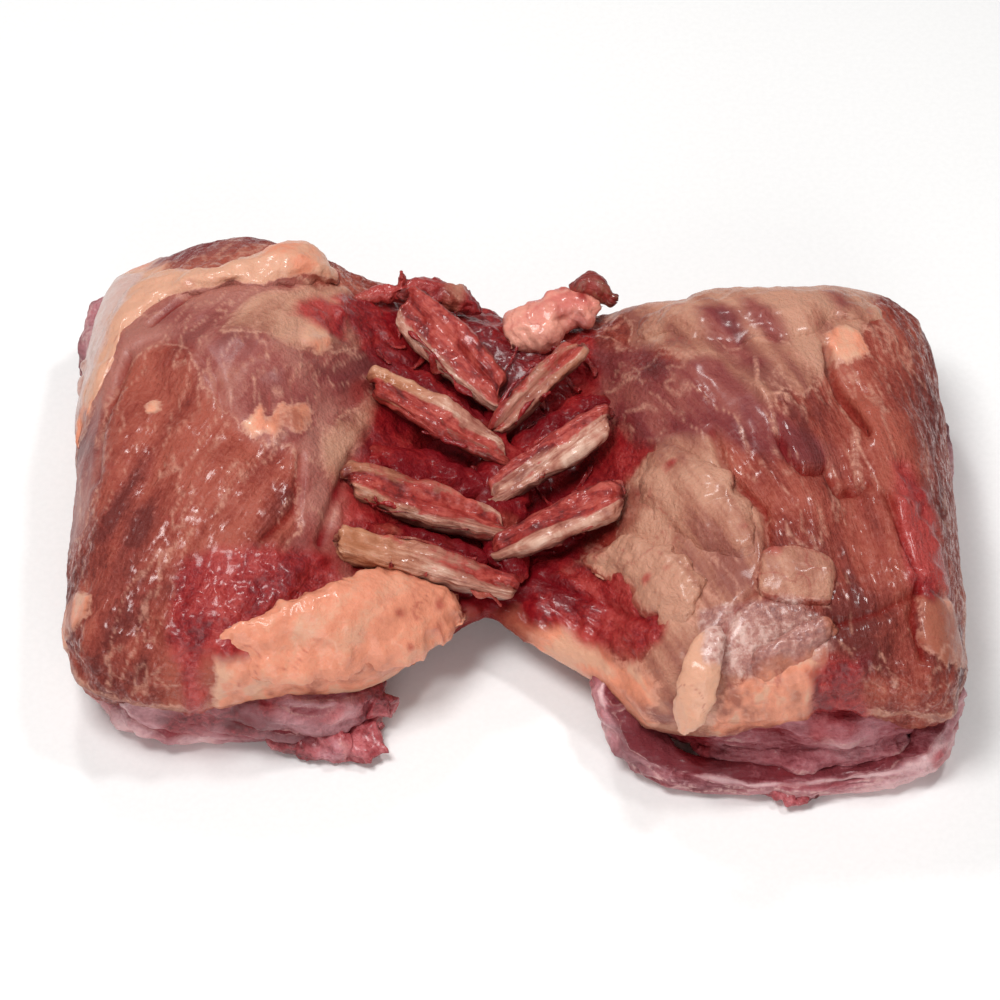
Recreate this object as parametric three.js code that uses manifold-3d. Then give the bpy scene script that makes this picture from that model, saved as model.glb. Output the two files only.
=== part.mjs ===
// Raw lamb neck end, opened flat: two thick lobes of meat with their flaps rolled under, joined by a low
// bridge in which seven cut ribs lie in a herringbone, with pads and seams of fat on top.
// Millimetres. +Z is up, +Y runs along the spine towards the back, and the lobes lie left and right along X.
// The origin is on the surface that the meat rests on, under the middle of the bridge.

import * as THREE from "three";
import { mergeVertices } from "three/addons/utils/BufferGeometryUtils.js";
import Module from "manifold-3d";

// ---- Driving dimensions ----

const LEFT_END = -128;
const RIGHT_END = 128;
const CAP = 17; // length over which each end of the loaf rounds off
const CAP_SQUARE = { y: 4.2, z: 2.4 }; // how square the ends are, seen from above and from the front
const CORE_HEIGHT = 22; // height of the line that the ends close on
const DOME = 2.7; // squareness of the top, across the lobes
const WALL = 3; // squareness of the wall under the widest line
const UNDERCUT = 9; // how far the foot stands back from the widest line
const TOP_SHARE = 0.6; // share of a section's points that lie on the top
const LOAF_RINGS = 62;
const LOAF_SIDES = 48;
const GAP = 0.3; // free space between two pieces
const UNEVEN = { amount: 1.4, size: 17 }; // slow unevenness of the meat's skin

// Cross-sections from the left end to the right end. front and back are the widest line's places, brim is
// its height, and crest is the height of the top.
const STATIONS = [
  { x: -128, front: -60, back: 80, brim: 26, crest: 46 },
  { x: -112, front: -67, back: 87, brim: 27, crest: 52 },
  { x: -94, front: -70, back: 94, brim: 27, crest: 58 },
  { x: -76, front: -68, back: 94, brim: 28, crest: 59 },
  { x: -60, front: -65, back: 90, brim: 29, crest: 54 },
  { x: -46, front: -63, back: 85, brim: 29, crest: 45 },
  { x: -34, front: -56, back: 82, brim: 28, crest: 37 },
  { x: -22, front: -45, back: 82, brim: 25, crest: 30 },
  { x: -9, front: -33, back: 80, brim: 20, crest: 26 },
  { x: 3, front: -39, back: 77, brim: 17, crest: 25 },
  { x: 14, front: -47, back: 77, brim: 17, crest: 27 },
  { x: 26, front: -59, back: 75, brim: 21, crest: 34 },
  { x: 38, front: -74, back: 71, brim: 29, crest: 46 },
  { x: 54, front: -79, back: 71, brim: 33, crest: 57 },
  { x: 72, front: -77, back: 71, brim: 34, crest: 61 },
  { x: 92, front: -75, back: 72, brim: 34, crest: 60 },
  { x: 112, front: -77, back: 70, brim: 32, crest: 55 },
  { x: 128, front: -74, back: 66, brim: 28, crest: 48 },
];

// Broad swellings and hollows of the top.
const HUMPS = [
  { x: -92, y: 5, rx: 30, ry: 38, height: 3 },
  { x: -2, y: 64, rx: 26, ry: 15, height: 9 },
  { x: -57, y: 82, rx: 12, ry: 12, height: 3 },
  { x: 12, y: -34, rx: 16, ry: 12, height: 4 },
  { x: 84, y: -10, rx: 30, ry: 40, height: 2 },
  { x: -113, y: -5, rx: 9, ry: 40, height: 3 },
  { x: -101, y: 10, rx: 6, ry: 34, height: -2 },
  { x: -72, y: 34, rx: 18, ry: 10, height: 3 },
  { x: -60, y: -4, rx: 8, ry: 20, height: 3 },
  { x: 46, y: 28, rx: 14, ry: 18, height: 3 },
  { x: 64, y: 30, rx: 6, ry: 16, height: -2 },
  { x: 94, y: 2, rx: 5, ry: 34, height: -3 },
  { x: 108, y: -12, rx: 9, ry: 40, height: 3 },
  { x: 74, y: -26, rx: 12, ry: 14, height: 2 },
];

// Each strand below is an oval section carried through its stops: x, y, z, half width and half height.

// Rolled-under flaps and loose strands of the meat, which are one with the loaf.
const FLESH = {
  left_core: {
    stops: [
      [-120, -47, 13, 10, 12], [-100, -55, 12, 13, 13], [-77, -57, 13, 13, 13.5],
      [-56, -56, 13, 13, 12], [-38, -51, 12, 9, 10],
    ],
    square: 2.5,
  },
  left_rag: { stops: [[-58, -58, 8, 6, 6], [-51, -68, 6, 5, 5], [-46, -73, 4, 3, 3]], steps: 6 },
  left_tag: { stops: [[-44, -52, 12, 5, 6], [-37, -58, 10, 4, 5], [-33, -61, 10, 2.5, 3]], steps: 6 },
  left_heel: { stops: [[-122, 54, 17, 6, 11], [-125, 69, 19, 7, 14], [-119, 80, 19, 6, 11]], steps: 7 },
  right_core: {
    stops: [
      [36, -58, 18, 10, 11], [55, -63, 19, 12, 13], [80, -64, 20, 13, 13], [104, -62, 19, 12, 12],
      [118, -54, 17, 9, 9],
    ],
    square: 2.4,
  },
  right_rim: {
    stops: [
      [27, -50, 25, 5, 6], [30, -65, 14, 6, 7], [44, -76, 6, 6.5, 5.5], [70, -79, 5.5, 6.5, 5.5],
      [95, -78, 5.5, 6.5, 5.5], [113, -73, 7, 6.5, 6.5], [121, -63, 16, 6.5, 7], [122, -50, 23, 6, 6],
    ],
    steps: 20,
  },
  right_rag: { stops: [[70, -80, 6, 4, 4], [77, -85, 4, 4, 3.5], [85, -84, 4, 3, 3]], steps: 6 },
  right_side: {
    stops: [[119, 64, 15, 6, 11], [122, 40, 15, 8, 13], [122, 5, 15, 8, 13], [120, -30, 15, 7, 11]],
  },
  rear_strand: {
    stops: [[-41, 70, 39, 2.5, 2], [-32, 72, 40, 4.5, 4], [-21, 72, 38, 5, 4], [-10, 71, 33, 4, 3.5]],
    steps: 8,
  },
  between_left_1: {
    stops: [[-38, 46, 37, 4, 4], [-22, 37, 31, 5, 5], [-5, 24, 26, 4, 4]],
    steps: 7, sides: 8,
  },
  between_left_2: {
    stops: [[-45, 4, 42, 5, 4], [-26, 7, 34, 7, 5], [-4, 4, 27, 4, 4]],
    steps: 7, sides: 8,
  },
  between_left_3: {
    stops: [[-46, -19, 41, 4, 4], [-28, -18, 32, 5, 5], [-6, -21, 26, 4, 4]],
    steps: 7, sides: 8,
  },
  between_right: {
    stops: [[29, 32, 36, 5, 4], [14, 27, 30, 6, 5], [-2, 13, 26, 4, 3]],
    steps: 7, sides: 8,
  },
};

// The cut ribs, from the spine outwards.
const RIB = { square: 4, tip: 8, steps: 9, sides: 12 };
const RIBS = {
  rib_left_1: { stops: [[-3, 35, 33, 5.5, 3.5], [-18, 50, 39, 8, 4], [-33, 65, 43, 6.5, 3.5]], roll: -0.5 },
  rib_left_2: {
    stops: [[-1, 14, 32, 4, 3.5], [-21, 22, 40, 5.8, 4.2], [-41, 31, 46, 4.2, 3.8]],
    roll: -0.35,
  },
  rib_left_3: { stops: [[-2, -11, 31, 4.5, 3.5], [-25, -9, 39, 6, 4.4], [-47, -6, 47, 5.2, 4.5]], roll: -0.25 },
  rib_left_4: {
    stops: [[1, -32, 29, 4.2, 3.5], [-25, -30, 39, 5.4, 4], [-51, -28, 47, 5.5, 5]],
    roll: -0.2,
  },
  rib_right_1: { stops: [[-6, 23, 32, 3, 3], [7, 36, 38, 4.4, 3.5], [20, 48, 42, 4.2, 3.6]], roll: 0.3 },
  rib_right_2: { stops: [[-7, 0, 31, 4.2, 3.5], [10, 9, 38, 5.8, 4.2], [28, 19, 44, 5.4, 4.6]], roll: 0.35 },
  rib_right_3: {
    stops: [[-6, -18, 29, 4.2, 3.5], [12, -14, 37, 5.8, 4.4], [31, -10, 44, 5.8, 4.6]],
    roll: 0.3,
  },
};

// Pads of fat. A draped one lies half sunk in the loaf's top, and its z is the height over that top.
const FATS = {
  fat_cap_left: {
    stops: [
      [-84, -62, 1, 5, 2.5], [-66, -60, 1, 8, 4], [-50, -53, 2, 12, 6], [-33, -45, 3, 13, 7],
      [-14, -36, 6, 9, 7],
    ],
    draped: true,
  },
  fat_flap_left: {
    stops: [
      [-125.5, 14, 1, 4, 1.8], [-123, 34, 1, 6, 2.2], [-118, 52, 1, 9, 2.5], [-107, 63, 1, 10, 2.5],
      [-96, 63, 1, 7, 2.5], [-86, 63, 1, 6, 2.5], [-76, 67, 1.5, 8, 3], [-62, 73, 2, 10, 6], [-51, 75, 1, 6, 4],
    ],
    draped: true, steps: 18,
  },
  fat_lump_rear: {
    stops: [[-4, 60, 30, 6, 5], [6, 64, 32, 9, 7], [17, 69, 34, 7, 6], [27, 70, 35, 5, 4]],
    steps: 8,
  },
  fat_sheet_right: {
    stops: [
      [36, 54, 1, 7, 2], [55, 52, 1, 13, 3], [78, 51, 1, 15, 3], [98, 53, 1, 11, 2.5],
      [112, 50, 1, 6, 2],
    ],
    draped: true,
  },
  fat_pad_right: {
    stops: [
      [40, 1, 1.5, 6, 2.5], [44, -8, 1.5, 9, 3], [51, -20, 1.5, 10, 3], [59, -33, 1, 8, 2.5],
      [65, -43, 1, 5, 2],
    ],
    draped: true,
  },
  fat_pad_low: {
    stops: [[22, -23, 1.5, 4, 2.5], [33, -30, 1.5, 7, 3.5], [42, -44, 1.5, 8, 3.5], [48, -58, 1, 6, 2.5]],
    draped: true,
  },
  fat_patch_right: {
    stops: [[67, -48, 0.8, 7, 1.5], [77, -49, 0.8, 8, 2], [88, -50, 0.8, 7, 1.5]],
    square: 4, tip: 8, draped: true, steps: 9,
  },
  fat_tongue: {
    stops: [[56, -64, 56, 3, 2], [52, -73, 52, 5, 3], [48, -81, 43, 6, 3], [45, -85, 34, 3, 2]],
    steps: 8,
  },
  fat_strip_right: {
    stops: [[64, -72, 0.8, 4, 2], [76, -68, 0.8, 5, 2.5], [88, -61, 0.8, 3, 2]],
    draped: true, steps: 8,
  },
};

// The dark, ragged tip of bone behind the rear lump of fat.
const BONE_TIP = {
  stops: [[19, 72, 36, 3, 3], [23, 74, 39, 4, 4.5], [30, 71, 37, 3, 3]],
  steps: 6, sides: 8,
};

const FLESH_COLOUR = new THREE.MeshStandardMaterial({ color: 0x8e4038, roughness: 0.45, metalness: 0 });
const FAT_COLOUR = new THREE.MeshStandardMaterial({ color: 0xdfa487, roughness: 0.4, metalness: 0 });
const BONE_COLOUR = new THREE.MeshStandardMaterial({ color: 0xb98472, roughness: 0.35, metalness: 0 });

// ---- Small helpers ----

const clamp = (value, low, high) => Math.min(high, Math.max(low, value));
const signedPower = (value, power) => Math.sign(value) * Math.abs(value) ** power;

// A smooth curve through the values that rows hold under key, read where the rows' place is at.
function along(rows, place, key, at) {
  let i = 0;
  while (i < rows.length - 2 && rows[i + 1][place] < at) i++;
  const [a, b] = [rows[i], rows[i + 1]];
  const slope = (p, q) => (q[key] - p[key]) / (q[place] - p[place]);
  const before = i > 0 ? slope(rows[i - 1], b) : slope(a, b);
  const after = i < rows.length - 2 ? slope(a, rows[i + 2]) : slope(a, b);
  const span = b[place] - a[place];
  const t = clamp((at - a[place]) / span, 0, 1);
  const [t2, t3] = [t * t, t * t * t];
  return (
    (2 * t3 - 3 * t2 + 1) * a[key] +
    (t3 - 2 * t2 + t) * span * before +
    (3 * t2 - 2 * t3) * b[key] +
    (t3 - t2) * span * after
  );
}

// A fixed pseudo-random number from 0 to 1 for each point of a cubic lattice.
function lattice(i, j, k) {
  const s = Math.sin(i * 127.1 + j * 311.7 + k * 74.7) * 43758.5453;
  return s - Math.floor(s);
}

// Smooth noise from -1 to 1 whose bumps are about size apart.
function noise({ x, y, z }, size) {
  const cell = [x, y, z].map((v) => Math.floor(v / size));
  const [u, v, w] = [x, y, z].map((value, n) => {
    const t = value / size - cell[n];
    return t * t * (3 - 2 * t);
  });
  let sum = 0;
  for (const a of [0, 1]) {
    for (const b of [0, 1]) {
      for (const c of [0, 1]) {
        const weight = (a ? u : 1 - u) * (b ? v : 1 - v) * (c ? w : 1 - w);
        sum += weight * lattice(cell[0] + a, cell[1] + b, cell[2] + c);
      }
    }
  }
  return 2 * sum - 1;
}

// A closed geometry from rings of points. The first and the last ring each stand for one point.
function skin(rings) {
  const round = rings[1].length;
  const points = [rings[0][0], ...rings.slice(1, -1).flat(), rings.at(-1)[0]];
  const [first, last] = [0, points.length - 1];
  const at = (row, k) => 1 + (row - 1) * round + (k % round);
  const index = [];
  for (let k = 0; k < round; k++) {
    index.push(first, at(1, k), at(1, k + 1));
    for (let row = 1; row < rings.length - 2; row++) {
      index.push(at(row, k), at(row + 1, k), at(row, k + 1));
      index.push(at(row, k + 1), at(row + 1, k), at(row + 1, k + 1));
    }
    index.push(at(rings.length - 2, k), last, at(rings.length - 2, k + 1));
  }
  return new THREE.BufferGeometry().setFromPoints(points).setIndex(index);
}

// ---- The loaf: one closed surface lofted through the stations ----

// The cross-section at x, before an end rounds it off.
function sectionAt(x) {
  const read = (key) => along(STATIONS, "x", key, x);
  const [front, back] = [read("front"), read("back")];
  return { brim: read("brim"), crest: read("crest"), middle: (front + back) / 2, half: (back - front) / 2 };
}

// Scales for depth and height in an end cap: 1 where the cap starts, and 0 at the end.
function capAt(x) {
  const into = clamp(Math.max(LEFT_END + CAP - x, x - (RIGHT_END - CAP)) / CAP, 0, 1);
  const scale = (n) => (1 - into ** n) ** (1 / n);
  return { y: scale(CAP_SQUARE.y), z: scale(CAP_SQUARE.z) };
}

// How far the broad swellings lift a place on the plan.
function humpAt(x, y) {
  const lift = (h) => h.height * Math.exp(-(((x - h.x) / h.rx) ** 2) - ((y - h.y) / h.ry) ** 2);
  return HUMPS.reduce((sum, h) => sum + lift(h), 0);
}

// Height of the loaf's top over a place on the plan. Past the loaf's edge it stays at the edge's height.
function topAt(x, y) {
  const inside = clamp(x, LEFT_END + 2, RIGHT_END - 2);
  const [s, cap] = [sectionAt(inside), capAt(inside)];
  const t = clamp(Math.abs(y - s.middle) / (s.half * cap.y), 0, 0.97);
  const dome = s.brim + (s.crest - s.brim) * (1 - t ** DOME) ** (1 / DOME);
  return CORE_HEIGHT + (dome + humpAt(inside, y) - CORE_HEIGHT) * cap.z;
}

// A point of the loaf's skin. turn goes once round the section at x: from the front of the widest line, over
// the top, down the back and under.
function loafPoint(x, turn) {
  const [s, cap] = [sectionAt(x), capAt(x)];
  const p = new THREE.Vector3(x, 0, 0);
  if (turn <= TOP_SHARE) {
    const a = (Math.PI * turn) / TOP_SHARE;
    p.y = -s.half * signedPower(Math.cos(a), 2 / DOME);
    p.z = s.brim + (s.crest - s.brim) * Math.max(0, Math.sin(a)) ** (2 / DOME);
    p.z += humpAt(x, s.middle + p.y * cap.y) * Math.sin(a);
  } else {
    const a = (Math.PI * (turn - TOP_SHARE)) / (1 - TOP_SHARE);
    const down = Math.sin(a) ** (2 / WALL);
    p.y = (s.half - UNDERCUT * down) * signedPower(Math.cos(a), 2 / WALL);
    p.z = s.brim - (s.brim + 2) * down;
  }
  p.y = s.middle + p.y * cap.y;
  p.z = CORE_HEIGHT + (p.z - CORE_HEIGHT) * cap.z;
  const swell = (1 + (UNEVEN.amount / s.half) * noise(p, UNEVEN.size)) ** cap.y;
  p.y = s.middle + (p.y - s.middle) * swell;
  p.z += UNEVEN.amount * cap.z * noise(p, UNEVEN.size * 0.8);
  p.z = Math.max(0, p.z);
  return p;
}

function loaf() {
  const rings = [];
  for (let row = 0; row <= LOAF_RINGS; row++) {
    const even = row / LOAF_RINGS;
    const eased = even - Math.sin(2 * Math.PI * even) / (3 * Math.PI);
    const x = LEFT_END + (RIGHT_END - LEFT_END) * eased;
    rings.push(Array.from({ length: LOAF_SIDES }, (_, k) => loafPoint(x, k / LOAF_SIDES)));
  }
  return skin(rings);
}

// ---- Strands: flaps, ribs and pads of fat ----

// An oval section carried through a shape's stops, closed by a rounded tip at each end. square is how square
// the section is, tip how blunt the ends are, and roll turns the section about the path.
function strand(shape) {
  const { stops, square = 2, tip = 3, roll = 0, draped = false, steps = 12, sides = 10 } = shape;
  const places = stops.map(([x, y, z]) => new THREE.Vector3(x, y, z));
  const line = new THREE.CatmullRomCurve3(places, false, "centripetal");
  const sizes = stops.map(([, , , wide, high], i) => ({ t: i / (stops.length - 1), wide, high }));
  const up = new THREE.Vector3(0, 0, 1);
  const rings = [];
  for (let row = 0; row <= steps; row++) {
    const t = (1 - Math.cos((Math.PI * row) / steps)) / 2;
    const taper = Math.sqrt(Math.max(0, 1 - Math.abs(2 * t - 1) ** (2 * tip)));
    const wide = along(sizes, "t", "wide", t) * taper;
    const high = along(sizes, "t", "high", t) * taper;
    const centre = line.getPoint(t);
    const ahead = line.getTangent(t);
    const across = new THREE.Vector3().crossVectors(ahead, up).normalize();
    const over = draped ? up.clone() : new THREE.Vector3().crossVectors(across, ahead).normalize();
    for (const v of [across, over]) v.applyAxisAngle(ahead, roll);
    const ring = [];
    for (let k = 0; k < sides; k++) {
      const a = (2 * Math.PI * k) / sides;
      const p = centre.clone().addScaledVector(across, wide * signedPower(Math.cos(a), 2 / square));
      const base = draped ? topAt(p.x, p.y) : 0;
      p.addScaledVector(over, high * signedPower(Math.sin(a), 2 / square));
      p.z = Math.max(0, p.z + base);
      ring.push(p);
    }
    rings.push(ring);
  }
  return skin(rings);
}

// The same closed surface moved outwards by the gap, to cut a pocket with.
function swollen(geometry) {
  geometry.computeVertexNormals();
  const { position, normal } = geometry.attributes;
  const points = [];
  for (let i = 0; i < position.count; i++) {
    const out = new THREE.Vector3().fromBufferAttribute(normal, i);
    points.push(new THREE.Vector3().fromBufferAttribute(position, i).addScaledVector(out, GAP));
  }
  return new THREE.BufferGeometry().setFromPoints(points).setIndex(geometry.index);
}

// ---- Joining and cutting ----

const wasm = await Module();
wasm.setup();

function solid(geometry) {
  const merged = mergeVertices(geometry, 1e-4);
  return new wasm.Manifold(
    new wasm.Mesh({
      numProp: 3,
      vertProperties: merged.attributes.position.array,
      triVerts: new Uint32Array(merged.index.array),
    }),
  );
}

// The largest body of a solid, without the scraps that a cut leaves.
function largest(whole) {
  return whole.decompose().reduce((a, b) => (b.volume() > a.volume() ? b : a));
}

function meshOf(name, whole, material) {
  const { vertProperties, triVerts } = whole.getMesh();
  const geometry = new THREE.BufferGeometry();
  geometry.setAttribute("position", new THREE.BufferAttribute(vertProperties, 3));
  geometry.setIndex(new THREE.BufferAttribute(triVerts, 1));
  const mesh = new THREE.Mesh(geometry, material);
  mesh.name = name;
  return mesh;
}

// ---- The object ----

const neck = new THREE.Group();
neck.name = "lamb_neck";

// The ribs come first, then each pad of fat, and each later piece gives way to the earlier ones.
let taken = [];
const place = (name, shape, material) => {
  const whole = solid(strand(shape));
  neck.add(meshOf(name, largest(taken.reduce((left, other) => left.subtract(other), whole)), material));
  taken.push(whole.add(solid(swollen(strand(shape)))));
};
for (const [name, rib] of Object.entries(RIBS)) place(name, { ...RIB, ...rib }, BONE_COLOUR);
for (const [name, fat] of Object.entries(FATS)) place(name, fat, FAT_COLOUR);
place("bone_tip_rear", BONE_TIP, BONE_COLOUR);

let meat = solid(loaf());
for (const shape of Object.values(FLESH)) meat = meat.add(solid(strand(shape)));
for (const other of taken) meat = meat.subtract(other);
neck.add(meshOf("meat", largest(meat), FLESH_COLOUR));

export default neck;
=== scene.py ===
"""Looks of a raw lamb neck, opened flat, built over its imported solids.

The meat is a loaf lofted through cross-sections, with rolled-under flaps below it, ribs in its trough and
pads of fat on top. Every surface is a numpy function of two parameters, in millimetres, in the frame of the
solids. What shows where on the meat is drawn on the plan, as outlines of tissues and lines of seams.
"""

from __future__ import annotations

import logging
from dataclasses import dataclass
from enum import Enum
from typing import Sequence

import bpy
import numpy as np
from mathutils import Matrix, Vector

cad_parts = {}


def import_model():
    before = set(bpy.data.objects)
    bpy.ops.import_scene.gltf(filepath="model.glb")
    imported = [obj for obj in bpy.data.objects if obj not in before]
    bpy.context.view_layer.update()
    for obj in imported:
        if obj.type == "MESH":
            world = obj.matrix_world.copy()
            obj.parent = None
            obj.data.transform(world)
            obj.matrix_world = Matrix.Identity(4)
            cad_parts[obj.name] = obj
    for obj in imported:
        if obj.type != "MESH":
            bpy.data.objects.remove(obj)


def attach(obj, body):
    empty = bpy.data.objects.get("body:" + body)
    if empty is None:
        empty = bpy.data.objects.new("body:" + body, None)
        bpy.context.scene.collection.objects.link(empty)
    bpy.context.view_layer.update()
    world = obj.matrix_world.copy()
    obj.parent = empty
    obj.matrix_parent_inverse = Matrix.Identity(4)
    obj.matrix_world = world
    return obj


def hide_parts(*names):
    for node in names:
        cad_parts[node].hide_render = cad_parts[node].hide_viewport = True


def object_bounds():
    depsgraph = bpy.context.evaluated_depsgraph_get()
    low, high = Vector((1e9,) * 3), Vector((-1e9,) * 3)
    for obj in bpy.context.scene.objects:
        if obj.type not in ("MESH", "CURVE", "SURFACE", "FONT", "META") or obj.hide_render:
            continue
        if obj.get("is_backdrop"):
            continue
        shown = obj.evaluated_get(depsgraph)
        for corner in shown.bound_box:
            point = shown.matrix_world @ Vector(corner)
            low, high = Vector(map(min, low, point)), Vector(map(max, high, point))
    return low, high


LOG = logging.getLogger("lamb_neck")
Array = np.ndarray
Look = dict[str, Array]  # values of a surface's points by attribute name
MM = 0.001

# ---- The solids' own shape, in millimetres ----

BOX_LOW, BOX_HIGH = np.array((-131.7, -88.7, 0.0)), np.array((130.4, 94.3, 64.0))  # no surface passes these
LEFT_END, RIGHT_END = -128.0, 128.0
CAP = 17.0  # length of each end cap
CAP_SQUARE_Y, CAP_SQUARE_Z = 4.2, 2.4  # powers of the caps' superellipses: 2 is round, and more is squarer
CORE_HEIGHT = 22.0  # height at which the caps close
DOME = 2.7  # power of the arc over the top
WALL = 3.0  # power of the arc below the brims
UNDERCUT = 9.0  # how far the foot lies inside the brims
TOP_SHARE = 0.6  # share of the way round a section that lies over the top
UNEVEN_AMOUNT, UNEVEN_SIZE = 1.4, 17.0  # depth and width of the broad lumps
EDGE_SHARE = 0.97  # how near a brim the top is read, as a share of half the depth
LIP_HEIGHT = 14.0  # below this, nothing that lies on the meat shows

# x, front, back, brim, crest
STATIONS = np.array(
    [
        (-128, -60, 80, 26, 46), (-112, -67, 87, 27, 52), (-94, -70, 94, 27, 58), (-76, -68, 94, 28, 59),
        (-60, -65, 90, 29, 54), (-46, -63, 85, 29, 45), (-34, -56, 82, 28, 37), (-22, -45, 82, 25, 30),
        (-9, -33, 80, 20, 26), (3, -39, 77, 17, 25), (14, -47, 77, 17, 27), (26, -59, 75, 21, 34),
        (38, -74, 71, 29, 46), (54, -79, 71, 33, 57), (72, -77, 71, 34, 61), (92, -75, 72, 34, 60),
        (112, -77, 70, 32, 55), (128, -74, 66, 28, 48),
    ],
    dtype=float,
)

# broad swellings: x, y, rx, ry, height
HUMPS = (
    (-92, 5, 30, 38, 3), (-2, 64, 26, 15, 9), (-57, 82, 12, 12, 3), (12, -34, 16, 12, 4),
    (84, -10, 30, 40, 2), (-113, -5, 9, 40, 3), (-101, 10, 6, 34, -2), (-72, 34, 18, 10, 3),
    (-60, -4, 8, 20, 3), (46, 28, 14, 18, 3), (64, 30, 6, 16, -2), (94, 2, 5, 34, -3), (108, -12, 9, 40, 3),
    (74, -26, 12, 14, 2),
)


def hermite(places: Array, values: Array, at: Array) -> Array:
    """A smooth curve through values at places, with each slope taken from the neighbours on both sides.

    Args:
        places: Rising places of the known values.
        values: The known values.
        at: Where the curve is read; past the ends it keeps the end value.

    Returns:
        The curve's values at those places.
    """
    slopes = np.empty_like(values)
    slopes[1:-1] = (values[2:] - values[:-2]) / (places[2:] - places[:-2])
    slopes[0] = (values[1] - values[0]) / (places[1] - places[0])
    slopes[-1] = (values[-1] - values[-2]) / (places[-1] - places[-2])
    i = np.clip(np.searchsorted(places, at, side="left") - 1, 0, len(places) - 2)
    span = places[i + 1] - places[i]
    t = np.clip((at - places[i]) / span, 0.0, 1.0)
    t2, t3 = t * t, t * t * t
    return (
        (2 * t3 - 3 * t2 + 1) * values[i]
        + (t3 - 2 * t2 + t) * span * slopes[i]
        + (3 * t2 - 2 * t3) * values[i + 1]
        + (t3 - t2) * span * slopes[i + 1]
    )


def signed_power(value: Array, power: float) -> Array:
    """The power of a value's size, with the value's own sign."""
    return np.sign(value) * np.abs(value) ** power


# these turn a lattice corner into a random value
HASH_AXES, HASH_SCALE = np.array([127.1, 311.7, 74.7]), 43758.5453
OCTAVE_SHIFT = 31.7  # keeps the octaves' lattices apart


def noise(points: Array, size: float) -> Array:
    """Smooth noise from -1 to 1: random values at a cubic lattice's corners, blended with an S-curve.

    Args:
        points: Places, with x, y and z last.
        size: Distance between the lattice's corners.

    Returns:
        One value for each place.
    """
    scaled = points / size
    cell = np.floor(scaled)
    t = scaled - cell
    t = t * t * (3 - 2 * t)
    total = np.zeros(points.shape[:-1])
    for corner in np.ndindex(2, 2, 2):
        at = cell + corner
        value = np.sin(at @ HASH_AXES) * HASH_SCALE
        weight = np.prod(np.where(np.array(corner, bool), t, 1 - t), axis=-1)
        total += weight * (value - np.floor(value))
    return 2 * total - 1


def fractal(points: Array, size: float, octaves: int = 4, shift: float = 0.0) -> Array:
    """Noise summed over octaves, each half as large and half as strong as the one before.

    Args:
        points: Places, with x, y and z last.
        size: Distance between the lattice's corners in the first octave.
        octaves: How many octaves are summed.
        shift: Moves the pattern, so that no two patterns are alike.

    Returns:
        One value for each place, mostly from -1 to 1.
    """
    total = np.zeros(points.shape[:-1])
    for octave in range(octaves):
        total += 0.5**octave * noise(points + shift + OCTAVE_SHIFT * octave, size / 2**octave)
    return total


def stations(x: Array) -> tuple[Array, ...]:
    """Front, back, brim and crest, read from the stations at places along the loaf."""
    return tuple(hermite(STATIONS[:, 0], STATIONS[:, key], x) for key in range(1, STATIONS.shape[1]))


def cap_scales(x: Array) -> tuple[Array, Array]:
    """Scales for depth and height in an end cap: 1 where the cap starts, and 0 at the end."""
    into = np.clip(np.maximum(LEFT_END + CAP - x, x - (RIGHT_END - CAP)) / CAP, 0.0, 1.0)
    return (1 - into**CAP_SQUARE_Y) ** (1 / CAP_SQUARE_Y), (1 - into**CAP_SQUARE_Z) ** (1 / CAP_SQUARE_Z)


def swells(rows: Sequence[tuple[float, ...]], x: Array, y: Array) -> Array:
    """The sum of oval bell curves at places on the plan.

    Args:
        rows: For each bell, its middle in x and y, its radius in x and y, and its height.
        x: Places across the plan.
        y: Places along the plan.

    Returns:
        The sum at each place.
    """
    total = np.zeros(np.broadcast(x, y).shape)
    for middle_x, middle_y, radius_x, radius_y, height in rows:
        total += height * np.exp(-(((x - middle_x) / radius_x) ** 2) - ((y - middle_y) / radius_y) ** 2)
    return total


def top_at(x: Array, y: Array) -> Array:
    """The loaf's top over a place on the plan: a superellipse across the section at that x.

    Args:
        x: Places across the plan.
        y: Places along the plan.

    Returns:
        The top's height at each place.
    """
    inside = np.clip(x, LEFT_END + 2, RIGHT_END - 2)
    front, back, brim, crest = stations(inside)
    cap_y, cap_z = cap_scales(inside)
    t = np.clip(np.abs(y - (front + back) / 2) / ((back - front) / 2 * cap_y), 0.0, EDGE_SHARE)
    dome = brim + (crest - brim) * (1 - t**DOME) ** (1 / DOME)
    return CORE_HEIGHT + (dome + swells(HUMPS, inside, y) - CORE_HEIGHT) * cap_z


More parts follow.
